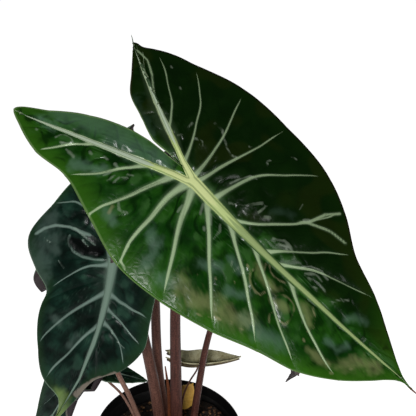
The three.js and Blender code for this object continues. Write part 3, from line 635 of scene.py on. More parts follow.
# %% Marks on the second leaf and the low leaf
second_marks = {
    "extra": [
        (0.9, [(8.5, 58.7), (1.6, 53.7), (-4.4, 45.9), (-7.4, 36.4), (-8, 28.6), (-8.6, 20.9)]),
        (0.8, [(-2, 34), (1, 33.5), (3.8, 31.6), (6.6, 27), (7.2, 19.9), (5.6, 13), (3, 6)]),
    ],
    # glints: raised creases whose pale colour is a painted highlight
    "glint": [
        (0.8, [(-8.4, 32.7), (-6.5, 24), (-3.9, 15)]), (0.7, [(7.8, 50.8), (8.5, 44.4)]),
        (0.7, [(17, 35.5), (20, 29)]), (0.7, [(-3.4, 24), (-1.2, 19)]), (0.7, [(49, -26), (50.6, -32)]),
        (0.8, [(43.8, -19), (45.5, -20)]),
    ],
    # lifted greyish skin, painted paler as painted sheen as well
    "lifted_skin_and_sheen": [
        (2.6, [(69.5, 5.8), (60, 3)]), (2.6, [(57, 18), (56, 22.5)]), (8, [(-6, 52), (12, 50), (26, 46)]),
        (4, [(2, 44), (12, 40)]), (3.0, [(32, 40), (40, 38)]),
    ],
    # a real dent, also painted near black as painted shade
    "shaded_dent": [(4.6, [(1, 30), (2, 22), (0, 12)])],
    "tail": [(5.5, [(110, -1), (119, -3), (128, -5)])],
    "turned": [(2.2, [(101, -11.5), (92, -15.3), (85, -20.5), (78, -27), (72, -33)])],
}
low_marks = {"shaded_dent": [(6, [(24, -20), (36, -18)])], "turned": [(3, [(52, -9), (70, -12)])]}

# %% [markdown]
# A drawn line would look ruled, so the distance to it is disturbed by two sizes of noise. Each kind of mark
# has its own share of that noise: the straw streaks with their painted sheen have a ragged outline, an extra
# vein hardly any.

# %% How near each vertex is to a mark
FAR_OFF = 9.0
MARK_KINDS = {"extra": 0.25, "glint": 0.75, "lifted_skin_and_sheen": 0.8, "scar": 0.7, "shaded_dent": 0.3, "straw_and_sheen": 1.0,
              "turned": 0.3, "tail": 0.35, "painted_glare": 0.3}


def distance_to_line(x, y, points):
    """How far each plan point is from the line through the given points."""
    nearest = np.full(x.shape, np.inf)
    for (ax, ay), (bx, by) in zip(points, points[1:]):
        along = ((x - ax) * (bx - ax) + (y - ay) * (by - ay)) / ((bx - ax) ** 2 + (by - ay) ** 2)
        along = np.clip(along, 0, 1)
        distance = np.hypot(x - ax - along * (bx - ax), y - ay - along * (by - ay))
        nearest = np.minimum(nearest, distance)
    return nearest


def mark_ratios(x, y, marks):
    """The distance to the nearest mark of each kind, in half widths of that mark."""
    coarse, fine = smooth_noise(x, y, 6, 4.4), smooth_noise(x, y, 2.2, 7.7)
    ratios = {}
    for kind, broken in MARK_KINDS.items():
        ratio = np.full(x.shape, FAR_OFF)
        for half, points in marks.get(kind, []):
            ratio = np.minimum(ratio, distance_to_line(x, y, points) / half)
        ratios[kind] = ratio + broken * (coarse + 0.8 * fine)
    return ratios


all_marks = (front_marks, second_marks, low_marks)
print("marks:", sum(len(lines) for marks in all_marks for lines in marks.values()))

# %% [markdown]
# Now the blade itself, in four steps. The first lays the sheet out flat in the leaf's plan, as
# columns by rows. Each column keeps the panel that it belongs to, and each vertex its place in that
# panel: across from one vein to the next, and outwards from the rib to the margin.

# %% Lay the sheet out
ROW_BUNCHING = 1.1
NARROWEST_RIB = 0.2
NO_VEIN_NEAR = 50


def bunched(count):
    """Steps from 0 towards 1, a little closer together near the two veins."""
    even = np.arange(count) / count
    return 0.5 * even + 0.5 * (0.5 - 0.5 * np.cos(math.pi * even))


def lay_out(leaf, spacing, rows):
    """The sheet in the leaf's plan; spacing is the distance between its columns at the margin."""
    veins = veins_round(leaf)
    out = np.linspace(0, 1, rows + 1) ** ROW_BUNCHING
    ends = np.array([v[4] for v in veins])
    widths = np.linalg.norm(np.roll(ends, -1, 0) - ends, axis=1)
    counts = columns_each(leaf, widths, spacing)
    panels = [panel_points(veins, k, out, bunched(count)) for k, count in enumerate(counts)]
    plan = np.concatenate(panels)
    order = column_plan(leaf, np.concatenate([[0], np.cumsum(counts)]), plan[:, 0])
    pick = np.array([column for column, _ in order])
    centres = np.array([centre for _, centre in order])
    roots = plan[pick, 0]
    rib_steps = np.arange(RIB_ROWS)[None, :, None] / RIB_ROWS
    rib_part = centres[:, None] + (roots - centres)[:, None] * rib_steps
    panel = np.repeat(np.arange(len(veins)), counts)[pick]
    steps = np.concatenate([bunched(count) for count in counts])[pick]
    lines = np.array([curve_between(*v[2:], out) for v in veins])
    gap = np.linalg.norm(lines - np.roll(lines, -1, 0), axis=2)
    no_rib = np.zeros((len(pick), RIB_ROWS))
    outward = np.concatenate([no_rib, np.tile(out, (len(pick), 1))], 1)
    return SimpleNamespace(
        veins=veins, out=out, panel=panel, width=widths[panel][:, None], outward=outward,
        plan=np.concatenate([rib_part, plan[pick]], 1),
        across=steps[:, None] * np.ones_like(outward),
        span=np.concatenate([no_rib + NO_VEIN_NEAR, gap[panel]], 1),
        rib_half=np.maximum(np.linalg.norm(roots - centres, axis=1), NARROWEST_RIB)[:, None])


# %% [markdown]
# The second step measures how far each vertex is from the nearest vein and rib, in half widths of
# that vein or rib, so that 1 is always the edge of the band. A vein flares where it leaves its rib,
# narrows outwards, fades before the margin and strays a little from its plain curve. The faintest
# veins only shape the panels and aren't drawn.

# %% Measure each vertex
VEIN_FADE = (0.78, 0.97)
VEIN_FLARE = 0.7
FLARE_REACH = 0.07
VEIN_WANDER = 2.4
HIDDEN_VEIN = 0.15


def smooth_step(low, high, value):
    """0 up to low, 1 from high on, and a soft slope between them."""
    t = np.clip((value - low) / (high - low), 0, 1)
    return t * t * (3 - 2 * t)


def vein_wander(k, out):
    """How far vein k strays sideways from its plain curve, along its way out."""
    sway = np.array([noise.noise(Vector((3.2 * step, 7.3 * k, 1.5))) for step in out])
    return VEIN_WANDER * sway * 4 * out * (1 - out)


def vein_ratios(sheet, at_rib, at_margin):
    """How far each vertex is from the nearer of its panel's veins, in half widths of that vein."""
    outward, panel = sheet.outward, sheet.panel
    flare = VEIN_FLARE * at_rib * np.exp(-outward / FLARE_REACH)
    half = (at_rib + (at_margin - at_rib) * outward**0.7 + flare) * (1.02 - smooth_step(*VEIN_FADE, outward))
    wander = np.array([vein_wander(k, sheet.out) for k in range(len(sheet.veins))])
    wander = np.pad(wander, ((0, 0), (RIB_ROWS, 0)))
    weight = np.array([v[1] for v in sheet.veins])[:, None]
    here, following = wander[panel], np.roll(wander, -1, 0)[panel]
    near_weight, next_weight = weight[panel], np.roll(weight, -1, 0)[panel]
    to_here = abs(sheet.across * sheet.span - here) / (half * near_weight)
    to_next = abs((1 - sheet.across) * sheet.span + following) / (half * next_weight)
    to_here += FAR_OFF * (near_weight < HIDDEN_VEIN)
    to_next += FAR_OFF * (next_weight < HIDDEN_VEIN)
    ratio = np.minimum(to_here, to_next)
    ratio[:, :RIB_ROWS] = FAR_OFF
    return ratio


def measure(sheet, vein, marks):
    """Distances from the rib's middle, the margin and the navel in mm, the others in half widths."""
    x, y = sheet.plan[..., 0], sheet.plan[..., 1]
    reach = np.cumsum(np.linalg.norm(np.diff(sheet.plan, axis=1), axis=2), 1)
    reach = np.pad(reach, ((0, 0), (1, 0)))
    near_marks = mark_ratios(x, y, marks)
    return SimpleNamespace(
        x=x, y=y, reach=reach, edge=reach[:, -1:] - reach, away=np.hypot(x, y), marks=near_marks,
        rib=reach / sheet.rib_half, vein=np.minimum(vein_ratios(sheet, *vein), near_marks["extra"]))


# %% [markdown]
# The third step raises the relief: the puff of each panel, the rounded crown of the ribs, the veins
# as low rounded bands, the pillows and creases, and the marks. Glinting creases and scars stand up,
# and dents go down. The shaded half of the front leaf is calmer than the lit one.

# %% Raise the relief
CROWN = 0.5
FULL_CROWN = 3
VEIN_RISE = 0.3
GLINT_RISE, SCAR_RISE, DENT_DEPTH = 0.4, 0.3, 1.5
CALM_FROM, CALM_TO = 24, 44


def raise_relief(sheet, near, liveliness, dark_half):
    """How high each vertex stands over the smooth blade, and the pillows and the ripples alone."""
    rise = panel_puff(sheet.width, sheet.outward, sheet.across) * (sheet.outward > 0)
    rise += CROWN * np.clip(1 - near.rib**2, 0, 1) * np.minimum(sheet.rib_half / FULL_CROWN, 1)
    rise += VEIN_RISE * np.clip(1 - near.vein**2, 0, 1) * np.clip((near.rib - 1) * 2, 0, 1)
    between = (1 - abs(2 * sheet.across - 1)) * (sheet.outward > 0)
    relief, ripples = puckers(near.x, near.y, near.reach, between, sheet.outward)
    rise += liveliness * relief
    rise *= 1 - 0.5 * dark_half * smooth_step(CALM_FROM, CALM_TO, -near.y)
    glint, scar, shaded_dent = (np.exp(-(near.marks[kind] ** 2)) for kind in ("glint", "scar", "shaded_dent"))
    rise += GLINT_RISE * glint + SCAR_RISE * scar - DENT_DEPTH * shaded_dent
    return rise, relief, ripples


# %% [markdown]
# The fourth step keeps numbers for the material at each vertex: the distances, the hollows of the relief for
# painted shade, its crests and ripples for painted highlights, and where on the leaf a colour belongs. A rib
# looks slimmer towards the tip, paler near the navel and grooved along its sides. The front leaf is greener
# on the side with y over 0, which faces the light, because its other half is darkened with painted shade. On
# every leaf the pale margin line is painted strongest on that side, as painted light, and a dark brown margin
# line is drawn only on the other side.

# %% Numbers for the material
def numbers_kept(sheet, near, relief, ripples, dark_half):
    """The numbers by name. Limits on x, y and away are places on the leaf, in millimetres."""
    x, y, rib = near.x, near.y, near.rib
    lit_side = smooth_step(-12, 4, y)
    beside_notch = smooth_step(-24, -14, y) * (x < 0)
    lobe_margin = smooth_step(4, -4, x) * smooth_step(-40, -20, y)
    slim_rib = rib * (1 + 0.9 * smooth_step(8, 95, x))
    kept = {
        "vein": near.vein, "reach": near.reach, "edge": near.edge, "rib": slim_rib,
        "rib_far": slim_rib + 2 * (1 - smooth_step(6, 55, near.away)),
        "rib_lobe": rib + 3 * smooth_step(-34, -6, x),
        "rib_hub": rib + 2 * smooth_step(4, 42, near.away),
        "rib_line": np.minimum(abs(rib - 0.42), abs(rib - 0.78)) / 0.1,
        "around": sheet.panel[:, None] + sheet.across,
        # painted shade in the relief's hollows, painted highlights on its crests and ripples
        "hollow_shade": np.clip(-relief / 0.3, 0, 1),
        "crest_highlight": np.clip(relief / 0.35, 0, 1),
        "ripple_highlight": ripples,
        # painted light: the pale margin line is strongest on the lit side, and the dark brown margin line
        # shows only on the other side
        "edge_dark": near.edge / (1.02 - np.maximum(lit_side, beside_notch)),
        "edge_line": near.edge / (0.1 + 0.6 * lit_side + 0.5 * lobe_margin),
        "olive": (1 - lit_side) * smooth_step(0.0, 0.35, smooth_noise(x, y, 17, 6.6)),
        "dull": dark_half * smooth_step(12, 34, -y),
        # painted shade: the front leaf's half away from the light is darkened
        "shade": dark_half * (1 - lit_side) * (1 - 0.5 * smooth_step(100, 170, x)),
    }
    return kept | {kind: near.marks[kind] for kind in MARK_KINDS if kind != "extra"}


# %% [markdown]
# Last, the vertices are moved to their places in the model, and Solidify gives the sheet its
# thickness downwards, more of it under the ribs and veins, as on the real leaf. The flat plan is
# kept as the UV map, and the lower faces take a second finish.

# %% Build a blade
THICKNESS = 0.9
UNDER_RIDGE = 1.9


def leaf_axes(leaf):
    """The leaf's place: its navel, and the directions to its tip, across it and out of its face."""
    navel, along = np.array(leaf["navel"], float), np.array(leaf["towards"], float)
    along /= np.linalg.norm(along)
    up = np.array(leaf["faces"], float)
    up -= along * (up @ along)
    up /= np.linalg.norm(up)
    return navel, along, np.cross(along, up), up


def build_blade(name, leaf, spacing, rows, vein, liveliness=1.0, marks=None, dark_half=0.0):
    """A blade drawn by its veins; vein is a vein's half width at its rib and at the margin."""
    sheet = lay_out(leaf, spacing, rows)
    near = measure(sheet, vein, marks or {})
    rise, relief, ripples = raise_relief(sheet, near, liveliness, dark_half)
    place_across, lift, facing = rolled_across(leaf, near.x, near.y)
    height = blade_height(leaf, near.x, place_across) + lift
    height = height + rise * np.maximum(facing, 0)
    navel, along, sideways, up = leaf_axes(leaf)
    places = navel + near.x[..., None] * along + place_across[..., None] * sideways + height[..., None] * up

    piece, column, row = grid_sheet(name, len(sheet.panel), rows + 1 + RIB_ROWS)
    place_vertices(piece, places[column, row] * MM)
    for key, values in numbers_kept(sheet, near, relief, ripples, dark_half).items():
        store(piece, key, values[column, row])
    set_uv(piece, near.x[column, row] * MM, near.y[column, row] * MM)
    under_vein = np.clip(1 - near.vein / 1.3, 0, 1) * (1 - sheet.outward)
    ridge = np.clip(1 - near.rib, 0, 1) + 0.45 * under_vein
    add_thickness(piece, np.clip(ridge, 0, 1)[column, row], up)
    print(name, "columns:", len(sheet.panel), "faces:", len(piece.data.polygons))
    return piece


def add_thickness(piece, ridge, up):
    """A wall below the sheet, thicker where ridge is 1. Its lower faces use the second slot."""
    store(piece, "ridge", ridge)
    merge_and_smooth(piece)
    normals = np.empty(len(piece.data.polygons) * 3)
    piece.data.polygons.foreach_get("normal", normals)
    if (normals.reshape(-1, 3) @ up).sum() < 0:
        piece.data.flip_normals()
    group = piece.vertex_groups.new(name="thickness")
    thickest = THICKNESS + UNDER_RIDGE
    amounts = np.empty(len(piece.data.vertices), np.float32)
    piece.data.attributes["ridge"].data.foreach_get("value", amounts)
    for index, amount in enumerate(np.round(amounts * 20) / 20):
        group.add([index], (THICKNESS + UNDER_RIDGE * float(amount)) / thickest, "REPLACE")
    for _ in range(2):
        piece.data.materials.append(None)
    wall = piece.modifiers.new("wall", "SOLIDIFY")
    wall.thickness = thickest * MM
    wall.offset = -1
    wall.vertex_group = group.name
    wall.material_offset = 1
    bpy.ops.object.modifier_apply(modifier=wall.name)


def dress(piece, nodes, slot, *materials):
    """Gives the piece its finishes and its place in the model."""
    while len(piece.data.materials) < len(materials):
        piece.data.materials.append(None)
    for index, material in enumerate(materials):
        piece.data.materials[index] = material
    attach(piece, "root")
    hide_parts(*nodes)


# %% [markdown]
# The upper face of a leaf has a wax coat over green tissue, so it is a dark dielectric with a soft gloss. Its
# colour comes in layers over two greens in soft patches. Each layer reads one number of the vertex, is empty
# where that number is at the first limit and full at the second, and lays its colour on with a given
# strength: vein bands, dried rings, scars, the margin's line. Some layers are painted light: painted shade in
# the hollows, in the dents and over the far half of the front leaf, and painted highlights and sheen on the
# crests, the ripples, the glints, the lifted skin, the straw streaks and the glare beside the left rib.

# %% The waxy upper face
def waxy_leaf(name, deep, bright, streak, layers, roughness, shine, coat):
    material, tree, surface = new_material(name)
    plan = add(tree, "ShaderNodeUVMap", uv_map="UVMap").outputs["UV"]
    # patches of two greens
    sockets = {"Vector": plan, "Scale": scale_for(18.2), "Detail": 4}
    patches = add(tree, "ShaderNodeTexNoise", sockets).outputs["Fac"]
    sockets = {"Value": patches, "From Min": 0.4, "From Max": 0.66}
    greenness = add(tree, "ShaderNodeMapRange", sockets, interpolation_type="SMOOTHSTEP").outputs[0]
    sockets = {FACTOR: greenness, BELOW: linear(deep), ABOVE: linear(bright)}
    colour = add(tree, "ShaderNodeMix", sockets, data_type="RGBA").outputs[RESULT]
    # streaks that run out with the veins, nine to a panel, so 2 to 4 mm apart near the margin
    reach = add(tree, "ShaderNodeAttribute", attribute_name="reach").outputs["Fac"]
    around = add(tree, "ShaderNodeAttribute", attribute_name="around").outputs["Fac"]
    along_veins = add(tree, "ShaderNodeCombineXYZ", {"X": reach, "Y": around}).outputs[0]
    stretched = add(tree, "ShaderNodeMapping", {"Vector": along_veins, "Scale": (0.07, 9, 1)}).outputs[0]
    streaks = add(tree, "ShaderNodeTexNoise", {"Vector": stretched, "Scale": 1, "Detail": 4}).outputs["Fac"]
    sockets = {"Value": streaks, "From Min": 0.42, "From Max": 0.72, "To Max": 0.5}
    streakiness = add(tree, "ShaderNodeMapRange", sockets, interpolation_type="SMOOTHSTEP").outputs[0]
    sockets = {FACTOR: streakiness, BELOW: colour, ABOVE: linear(streak)}
    colour = add(tree, "ShaderNodeMix", sockets, data_type="RGBA").outputs[RESULT]
    for attribute, empty, full, strength, tone in layers:
        amount = add(tree, "ShaderNodeAttribute", attribute_name=attribute).outputs["Fac"]
        sockets = {"Value": amount, "From Min": empty, "From Max": full, "To Min": 0, "To Max": strength}
        shown = add(tree, "ShaderNodeMapRange", sockets, interpolation_type="SMOOTHSTEP").outputs[0]
        sockets = {FACTOR: shown, BELOW: colour, ABOVE: linear(tone)}
        colour = add(tree, "ShaderNodeMix", sockets, data_type="RGBA").outputs[RESULT]
    tree.links.new(colour, surface.inputs["Base Color"])
    # the net of minor veins with cells about 4 mm across, and a grain of 1 mm, as low relief
    sockets = {"Vector": plan, "Scale": scale_for(3.85)}
    net = add(tree, "ShaderNodeTexVoronoi", sockets, feature="DISTANCE_TO_EDGE")
    sockets = {"Value": net.outputs["Distance"], "From Max": 0.3}
    cells = add(tree, "ShaderNodeMapRange", sockets, interpolation_type="SMOOTHSTEP").outputs[0]
    sockets = {"Vector": plan, "Scale": scale_for(1.11), "Detail": 2}
    grain = add(tree, "ShaderNodeTexNoise", sockets).outputs["Fac"]
    sockets = {0: grain, 1: 0.4, 2: cells}
    heights = add(tree, "ShaderNodeMath", sockets, operation="MULTIPLY_ADD").outputs[0]
    bump = add(tree, "ShaderNodeBump", {"Height": heights, "Strength": 0.2, "Distance": 0.0002})
    tree.links.new(bump.outputs["Normal"], surface.inputs["Normal"])
    # the marks of lifted skin and painted sheen are rougher than the wax, and so is the far half of the big
    # leaf
    lifted_skin_and_sheen = add(tree, "ShaderNodeAttribute", attribute_name="lifted_skin_and_sheen").outputs["Fac"]
    rougher = roughness + 0.1
    sockets = {"Value": lifted_skin_and_sheen, "From Min": 1.4, "From Max": 0.3, "To Min": roughness, "To Max": rougher}
    gloss = add(tree, "ShaderNodeMapRange", sockets).outputs[0]
    dull = add(tree, "ShaderNodeAttribute", attribute_name="dull").outputs["Fac"]
    gloss = add(tree, "ShaderNodeMath", {0: dull, 1: 0.03, 2: gloss}, operation="MULTIPLY_ADD").outputs[0]
    tree.links.new(gloss, surface.inputs["Roughness"])
    surface.inputs["IOR"].default_value = 1.42
    surface.inputs["Specular IOR Level"].default_value = shine
    surface.inputs["Coat Weight"].default_value = coat
    surface.inputs["Coat Roughness"].default_value = 0.1
    return material


front_top = waxy_leaf("waxy_young_leaf", "#123f0b", "#285c15", "#0a2e08", [
    ("edge", 17, 2, 0.45, "#47801c"),
    # painted shade in the hollows, painted highlights on the crests and ripples
    ("hollow_shade", 0, 1, 0.75, "#072405"),
    ("crest_highlight", 0.1, 1, 0.4, "#4c7c3e"),
    ("ripple_highlight", 0.1, 0.7, 0.4, "#84a67c"),
    # lifted skin and painted sheen
    ("lifted_skin_and_sheen", 2.1, -0.4, 0.36, "#6b8f76"),
    # painted glare beside the left rib
    ("painted_glare", 1.7, 0.1, 0.5, "#64886f"),
    # straw-pale streaks, partly tissue colour and partly painted sheen
    ("straw_and_sheen", 2.0, -0.3, 0.42, "#a0a86e"),
    # painted shade over the front leaf's half away from the light
    ("shade", 0, 1, 1.0, "#081e03"),
    ("olive", 0, 1, 0.35, "#2e360a"),
    # lifted skin and painted sheen again, lightly, over the shaded half
    ("lifted_skin_and_sheen", 1.8, -0.2, 0.12, "#6b8f7c"),
    ("rib", 2.4, 1.0, 0.22, "#7c9a72"),
    ("vein", 2.6, 0.9, 0.22, "#7c9a72"),
    ("vein", 1.45, 0.4, 0.95, "#b9d2a4"),
    # painted shade again, lighter, so that the far half's veins are darkened too
    ("shade", 0, 1, 0.4, "#0a1c05"),
    # painted highlight on the glint marks
    ("glint", 1.5, 0.0, 0.28, "#bfd0b6"),
    ("scar", 1.5, 0.0, 0.42, "#b0a97e"),
    # painted light: the pale margin line is strongest on the lit side
    ("edge_line", 1.5, 0.6, 0.5, "#8cab6c"),
    ("edge_dark", 1.7, 0.5, 0.6, "#2c1c16"),
    ("rib", 1.25, 0.8, 1.0, "#def2a2"),
    ("rib_far", 1.25, 0.8, 0.9, "#a9c080"),
    ("rib_lobe", 1.25, 0.8, 0.95, "#cfe0c6"),
    ("rib_hub", 1.25, 0.8, 0.9, "#f4ffb4"),
    ("rib_line", 1.2, 0.4, 0.6, "#6c8a4e"),
], roughness=0.24, shine=0.25, coat=0.1)
dark_top = waxy_leaf("waxy_dark_leaf", "#0b1f18", "#1c3b2f", "#081610", [
    ("edge", 13, 1, 0.4, "#2b4d26"),
    # painted shade in the hollows, painted highlights on the crests and ripples
    ("hollow_shade", 0, 1, 0.65, "#040d08"),
    ("crest_highlight", 0.1, 1, 0.4, "#3d5f4d"),
    ("ripple_highlight", 0.1, 0.7, 0.3, "#5f7d6b"),
    # lifted skin and painted sheen
    ("lifted_skin_and_sheen", 1.9, -0.3, 0.5, "#566c62"),
    ("rib", 2.4, 1.0, 0.25, "#40584b"),
    ("vein", 1.75, 0.2, 0.8, "#8aa296"),
    # painted shade: the dents are painted near black
    ("shaded_dent", 1.4, 0.5, 0.95, "#010202"),
    # painted highlight on the glint marks
    ("glint", 1.4, 0.0, 0.6, "#9db2a4"),
    ("turned", 1.4, 0.7, 0.85, "#8d8276"),
    ("tail", 2.0, 0.0, 0.75, "#86a35a"),
    ("edge_line", 1.3, 0.6, 0.7, "#7f9f80"),
    ("rib", 1.35, 0.6, 0.95, "#879f8f"),
    ("rib_line", 1.2, 0.4, 0.25, "#4c6a58"),
], roughness=0.34, shine=0.2, coat=0.06)
print("upper faces:", front_top.name, dark_top.name)


# %% [markdown]
# The underside has no wax shine. On the young front leaf it is a paler green, and on the dark
# leaves it is flushed a dull purple-brown between pale veins.

# %% The matt underside
def matt_underside(name, tissue, vein_pale):
    material, tree, surface = new_material(name)
    plan = add(tree, "ShaderNodeUVMap", uv_map="UVMap").outputs["UV"]
    sockets = {"Vector": plan, "Scale": scale_for(6.25), "Detail": 4}
    mottle = add(tree, "ShaderNodeTexNoise", sockets).outputs["Fac"]
    ridge = add(tree, "ShaderNodeAttribute", attribute_name="ridge").outputs["Fac"]
    sockets = {"Value": ridge, "From Min": 0.05, "From Max": 0.35, "To Max": 0.9}
    on_vein = add(tree, "ShaderNodeMapRange", sockets).outputs[0]
    darker = [0.6 * c for c in linear(tissue)[:3]] + [1.0]
    sockets = {FACTOR: mottle, BELOW: darker, ABOVE: linear(tissue)}
    flushed = add(tree, "ShaderNodeMix", sockets, data_type="RGBA").outputs[RESULT]
    sockets = {FACTOR: on_vein, BELOW: flushed, ABOVE: linear(vein_pale)}
    colour = add(tree, "ShaderNodeMix", sockets, data_type="RGBA").outputs[RESULT]
    tree.links.new(colour, surface.inputs["Base Color"])
    bump = add(tree, "ShaderNodeBump", {"Height": mottle, "Strength": 0.4, "Distance": 0.0003})
    tree.links.new(bump.outputs["Normal"], surface.inputs["Normal"])
    surface.inputs["Roughness"].default_value = 0.6
    return material


front_under = matt_underside("matt_green_underside", "#4b6a45", "#8fa37c")
dark_under = matt_underside("matt_purple_underside", "#3c2f32", "#665a54")
print("undersides:", front_under.name, dark_under.name)

# %% [markdown]
# The two leaves nearest to us get a close grid, because their veins and creases are seen as real
# relief. The half hidden ones get a wider one.

# %% Front leaf blade
front_blade = build_blade("front_blade", front_leaf, spacing=1.06, rows=44, vein=(1.9, 0.6),
                          marks=front_marks, dark_half=0.8)
dress(front_blade, ["front_leaf"], "glossy_leaf", front_top, front_under)

# %% Second leaf blade
second_blade = build_blade("second_blade", second_leaf, spacing=1.0, rows=36, vein=(1.7, 0.6),
                           liveliness=0.9, marks=second_marks)
dress(second_blade, ["second_leaf"], "dark_leaf", dark_top, dark_under)

# %% The hidden and small green blades
for name, leaf, half, marks in (("low", low_leaf, 1.1, low_marks), ("small", small_leaf, 0.6, {}),
                                ("back", back_leaf, 1.2, {}), ("right", right_leaf, 1.2, {})):
    blade = build_blade(name + "_blade", leaf, spacing=1.8, rows=26, vein=(half, 0.35),
                        liveliness=0.8, marks=marks)
    dress(blade, [name + "_leaf"], "dark_leaf", dark_top, dark_under)

# %% [markdown]
# Two blades have died. One has dried into an olive-beige boat on its thread of a stalk, and the
# other lies yellow in the pot. Dead tissue has no wax, so it is matt, and its veins show darker.

# %% Dry and yellow blades
def dead_leaf(name, pale, dark, vein_dark, roughness):
    material, tree, surface = new_material(name)
    plan = add(tree, "ShaderNodeUVMap", uv_map="UVMap").outputs["UV"]
    # stains 8 mm across, and shrunken wrinkles of 1.4 mm
    sockets = {"Vector": plan, "Scale": scale_for(7.7), "Detail": 6, "Roughness": 0.65}
    blotch = add(tree, "ShaderNodeTexNoise", sockets)
    sockets = {"Value": blotch.outputs["Fac"], "From Min": 0.35, "From Max": 0.68}
    stained = add(tree, "ShaderNodeMapRange", sockets).outputs[0]
    sockets = {FACTOR: stained, BELOW: linear(pale), ABOVE: linear(dark)}
    colour = add(tree, "ShaderNodeMix", sockets, data_type="RGBA").outputs[RESULT]
    vein = add(tree, "ShaderNodeAttribute", attribute_name="vein").outputs["Fac"]
    sockets = {"Value": vein, "From Min": 0.4, "From Max": 1.4, "To Min": 0.6, "To Max": 0.0}
    on_vein = add(tree, "ShaderNodeMapRange", sockets).outputs[0]
    sockets = {FACTOR: on_vein, BELOW: colour, ABOVE: linear(vein_dark)}
    colour = add(tree, "ShaderNodeMix", sockets, data_type="RGBA").outputs[RESULT]
    tree.links.new(colour, surface.inputs["Base Color"])
    sockets = {"Vector": plan, "Scale": scale_for(1.43), "Detail": 5}
    wrinkle = add(tree, "ShaderNodeTexNoise", sockets).outputs["Fac"]
    bump = add(tree, "ShaderNodeBump", {"Height": wrinkle, "Strength": 0.7, "Distance": 0.0005})
    tree.links.new(bump.outputs["Normal"], surface.inputs["Normal"])
    surface.inputs["Roughness"].default_value = roughness
    return material


dry_top = dead_leaf("dried_leaf_olive", "#e6e2bc", "#a89c70", "#6e6244", 0.7)
dry_under = dead_leaf("dried_leaf_brown", "#7d7050", "#4a3a26", "#3a2c1e", 0.75)
yellow_top = dead_leaf("yellowed_leaf", "#ecbe58", "#c4923c", "#9a7430", 0.55)
dry_blade = build_blade("dry_blade", dry_leaf, spacing=0.8, rows=26, vein=(0.5, 0.2))
dress(dry_blade, ["dry_leaf"], "dry_leaf", dry_top, dry_under)
yellow_blade = build_blade("yellow_blade", yellow_leaf, spacing=0.8, rows=16, vein=(0.4, 0.2),
                           liveliness=0.5)
dress(yellow_blade, ["yellow_leaf"], "yellow_leaf", yellow_top, yellow_top)

# %% [markdown]
# A leaf stalk is a long tapering rod. Its path runs straight up out of the soil, through the
# points where the photograph shows it, and bends at the top so that it meets the blade square at
# the navel.

# %% Smooth paths
def smooth_path(stops, count):
    """Evenly spaced points on a smooth curve through the stops (centripetal Catmull-Rom)."""
    stops = np.array(stops, float)
    stops = np.vstack([2 * stops[0] - stops[1], stops, 2 * stops[-1] - stops[-2]])
    knots = np.concatenate([[0], np.cumsum(np.linalg.norm(np.diff(stops, axis=0), axis=1) ** 0.5)])
    points = []
    for i in range(1, len(stops) - 2):
        k0, k1, k2, k3 = knots[i - 1:i + 3]
        p0, p1, p2, p3 = stops[i - 1:i + 3]
        for k in np.linspace(k1, k2, 24, endpoint=False):
            a = (k1 - k) / (k1 - k0) * p0 + (k - k0) / (k1 - k0) * p1
            b = (k2 - k) / (k2 - k1) * p1 + (k - k1) / (k2 - k1) * p2
            c = (k3 - k) / (k3 - k2) * p2 + (k - k2) / (k3 - k2) * p3
            d = (k2 - k) / (k2 - k0) * a + (k - k0) / (k2 - k0) * b
            e = (k3 - k) / (k3 - k1) * b + (k - k1) / (k3 - k1) * c
            points.append((k2 - k) / (k2 - k1) * d + (k - k1) / (k2 - k1) * e)
    points = np.array(points + [stops[-2]])
    for _ in range(60):
        points[1:-1] += 0.25 * (points[:-2] - 2 * points[1:-1] + points[2:])
    run = np.concatenate([[0], np.cumsum(np.linalg.norm(np.diff(points, axis=0), axis=1))])
    even = np.linspace(0, run[-1], count)
    return np.stack([np.interp(even, run, points[:, axis]) for axis in range(3)], 1)


# %% [markdown]
# A grid is rolled up along the path, with its first and last column merged. The skin swells and
# sinks by a fiftieth of the radius, and a groove runs up the side where the leaf's wing was.

# %% Rolled tubes
def rolled_tube(name, path, radii, sides=24, flat=1.0, groove=0.0, seed=1.0):
    """A tube along the path; radii is one radius for each point of it, in millimetres."""
    ahead = np.gradient(path, axis=0)
    ahead /= np.linalg.norm(ahead, axis=1)[:, None]
    side = np.array((1.0, 0.0, 0.0)) - ahead * ahead[:, :1]
    side /= np.linalg.norm(side, axis=1)[:, None]
    other = np.cross(ahead, side)
    angle = 2 * math.pi * np.arange(sides + 1) / sides
    run = np.concatenate([[0], np.cumsum(np.linalg.norm(np.diff(path, axis=0), axis=1))])
    swelling = [[noise.noise(Vector((math.cos(a) * 1.4, math.sin(a) * 1.4, r / 25 + seed)))
                 for a in angle] for r in run]
    sunk = groove * np.exp(-((np.cos(angle / 2 - math.pi / 4)) / 0.16) ** 2)
    spread = (1 + 0.02 * np.array(swelling)) * (1 - sunk)[None]
    ring = np.cos(angle)[None, :, None] * side[:, None] + flat * np.sin(angle)[None, :, None] * other[:, None]
    places = path[:, None] + ring * (radii[:, None] * spread)[..., None]
    piece, column, row = grid_sheet(name, sides + 1, len(path))
    place_vertices(piece, places[row, column] * MM)
    set_uv(piece, column / sides, run[row] * MM)
    merge_and_smooth(piece)
    close_ends(piece)
    return piece


def close_ends(piece):
    """Caps the open rings and turns every face outwards."""
    bpy.ops.object.mode_set(mode="EDIT")
    bpy.ops.mesh.select_all(action="DESELECT")
    bpy.ops.mesh.select_mode(type="EDGE")
    bpy.ops.mesh.select_non_manifold()
    bpy.ops.mesh.edge_face_add()
    bpy.ops.mesh.select_all(action="SELECT")
    bpy.ops.mesh.normals_make_consistent(inside=False)
    bpy.ops.object.mode_set(mode="OBJECT")


STALK_FOOT = 74
SOIL_TOP = 88
NECK_SHARE = 0.08


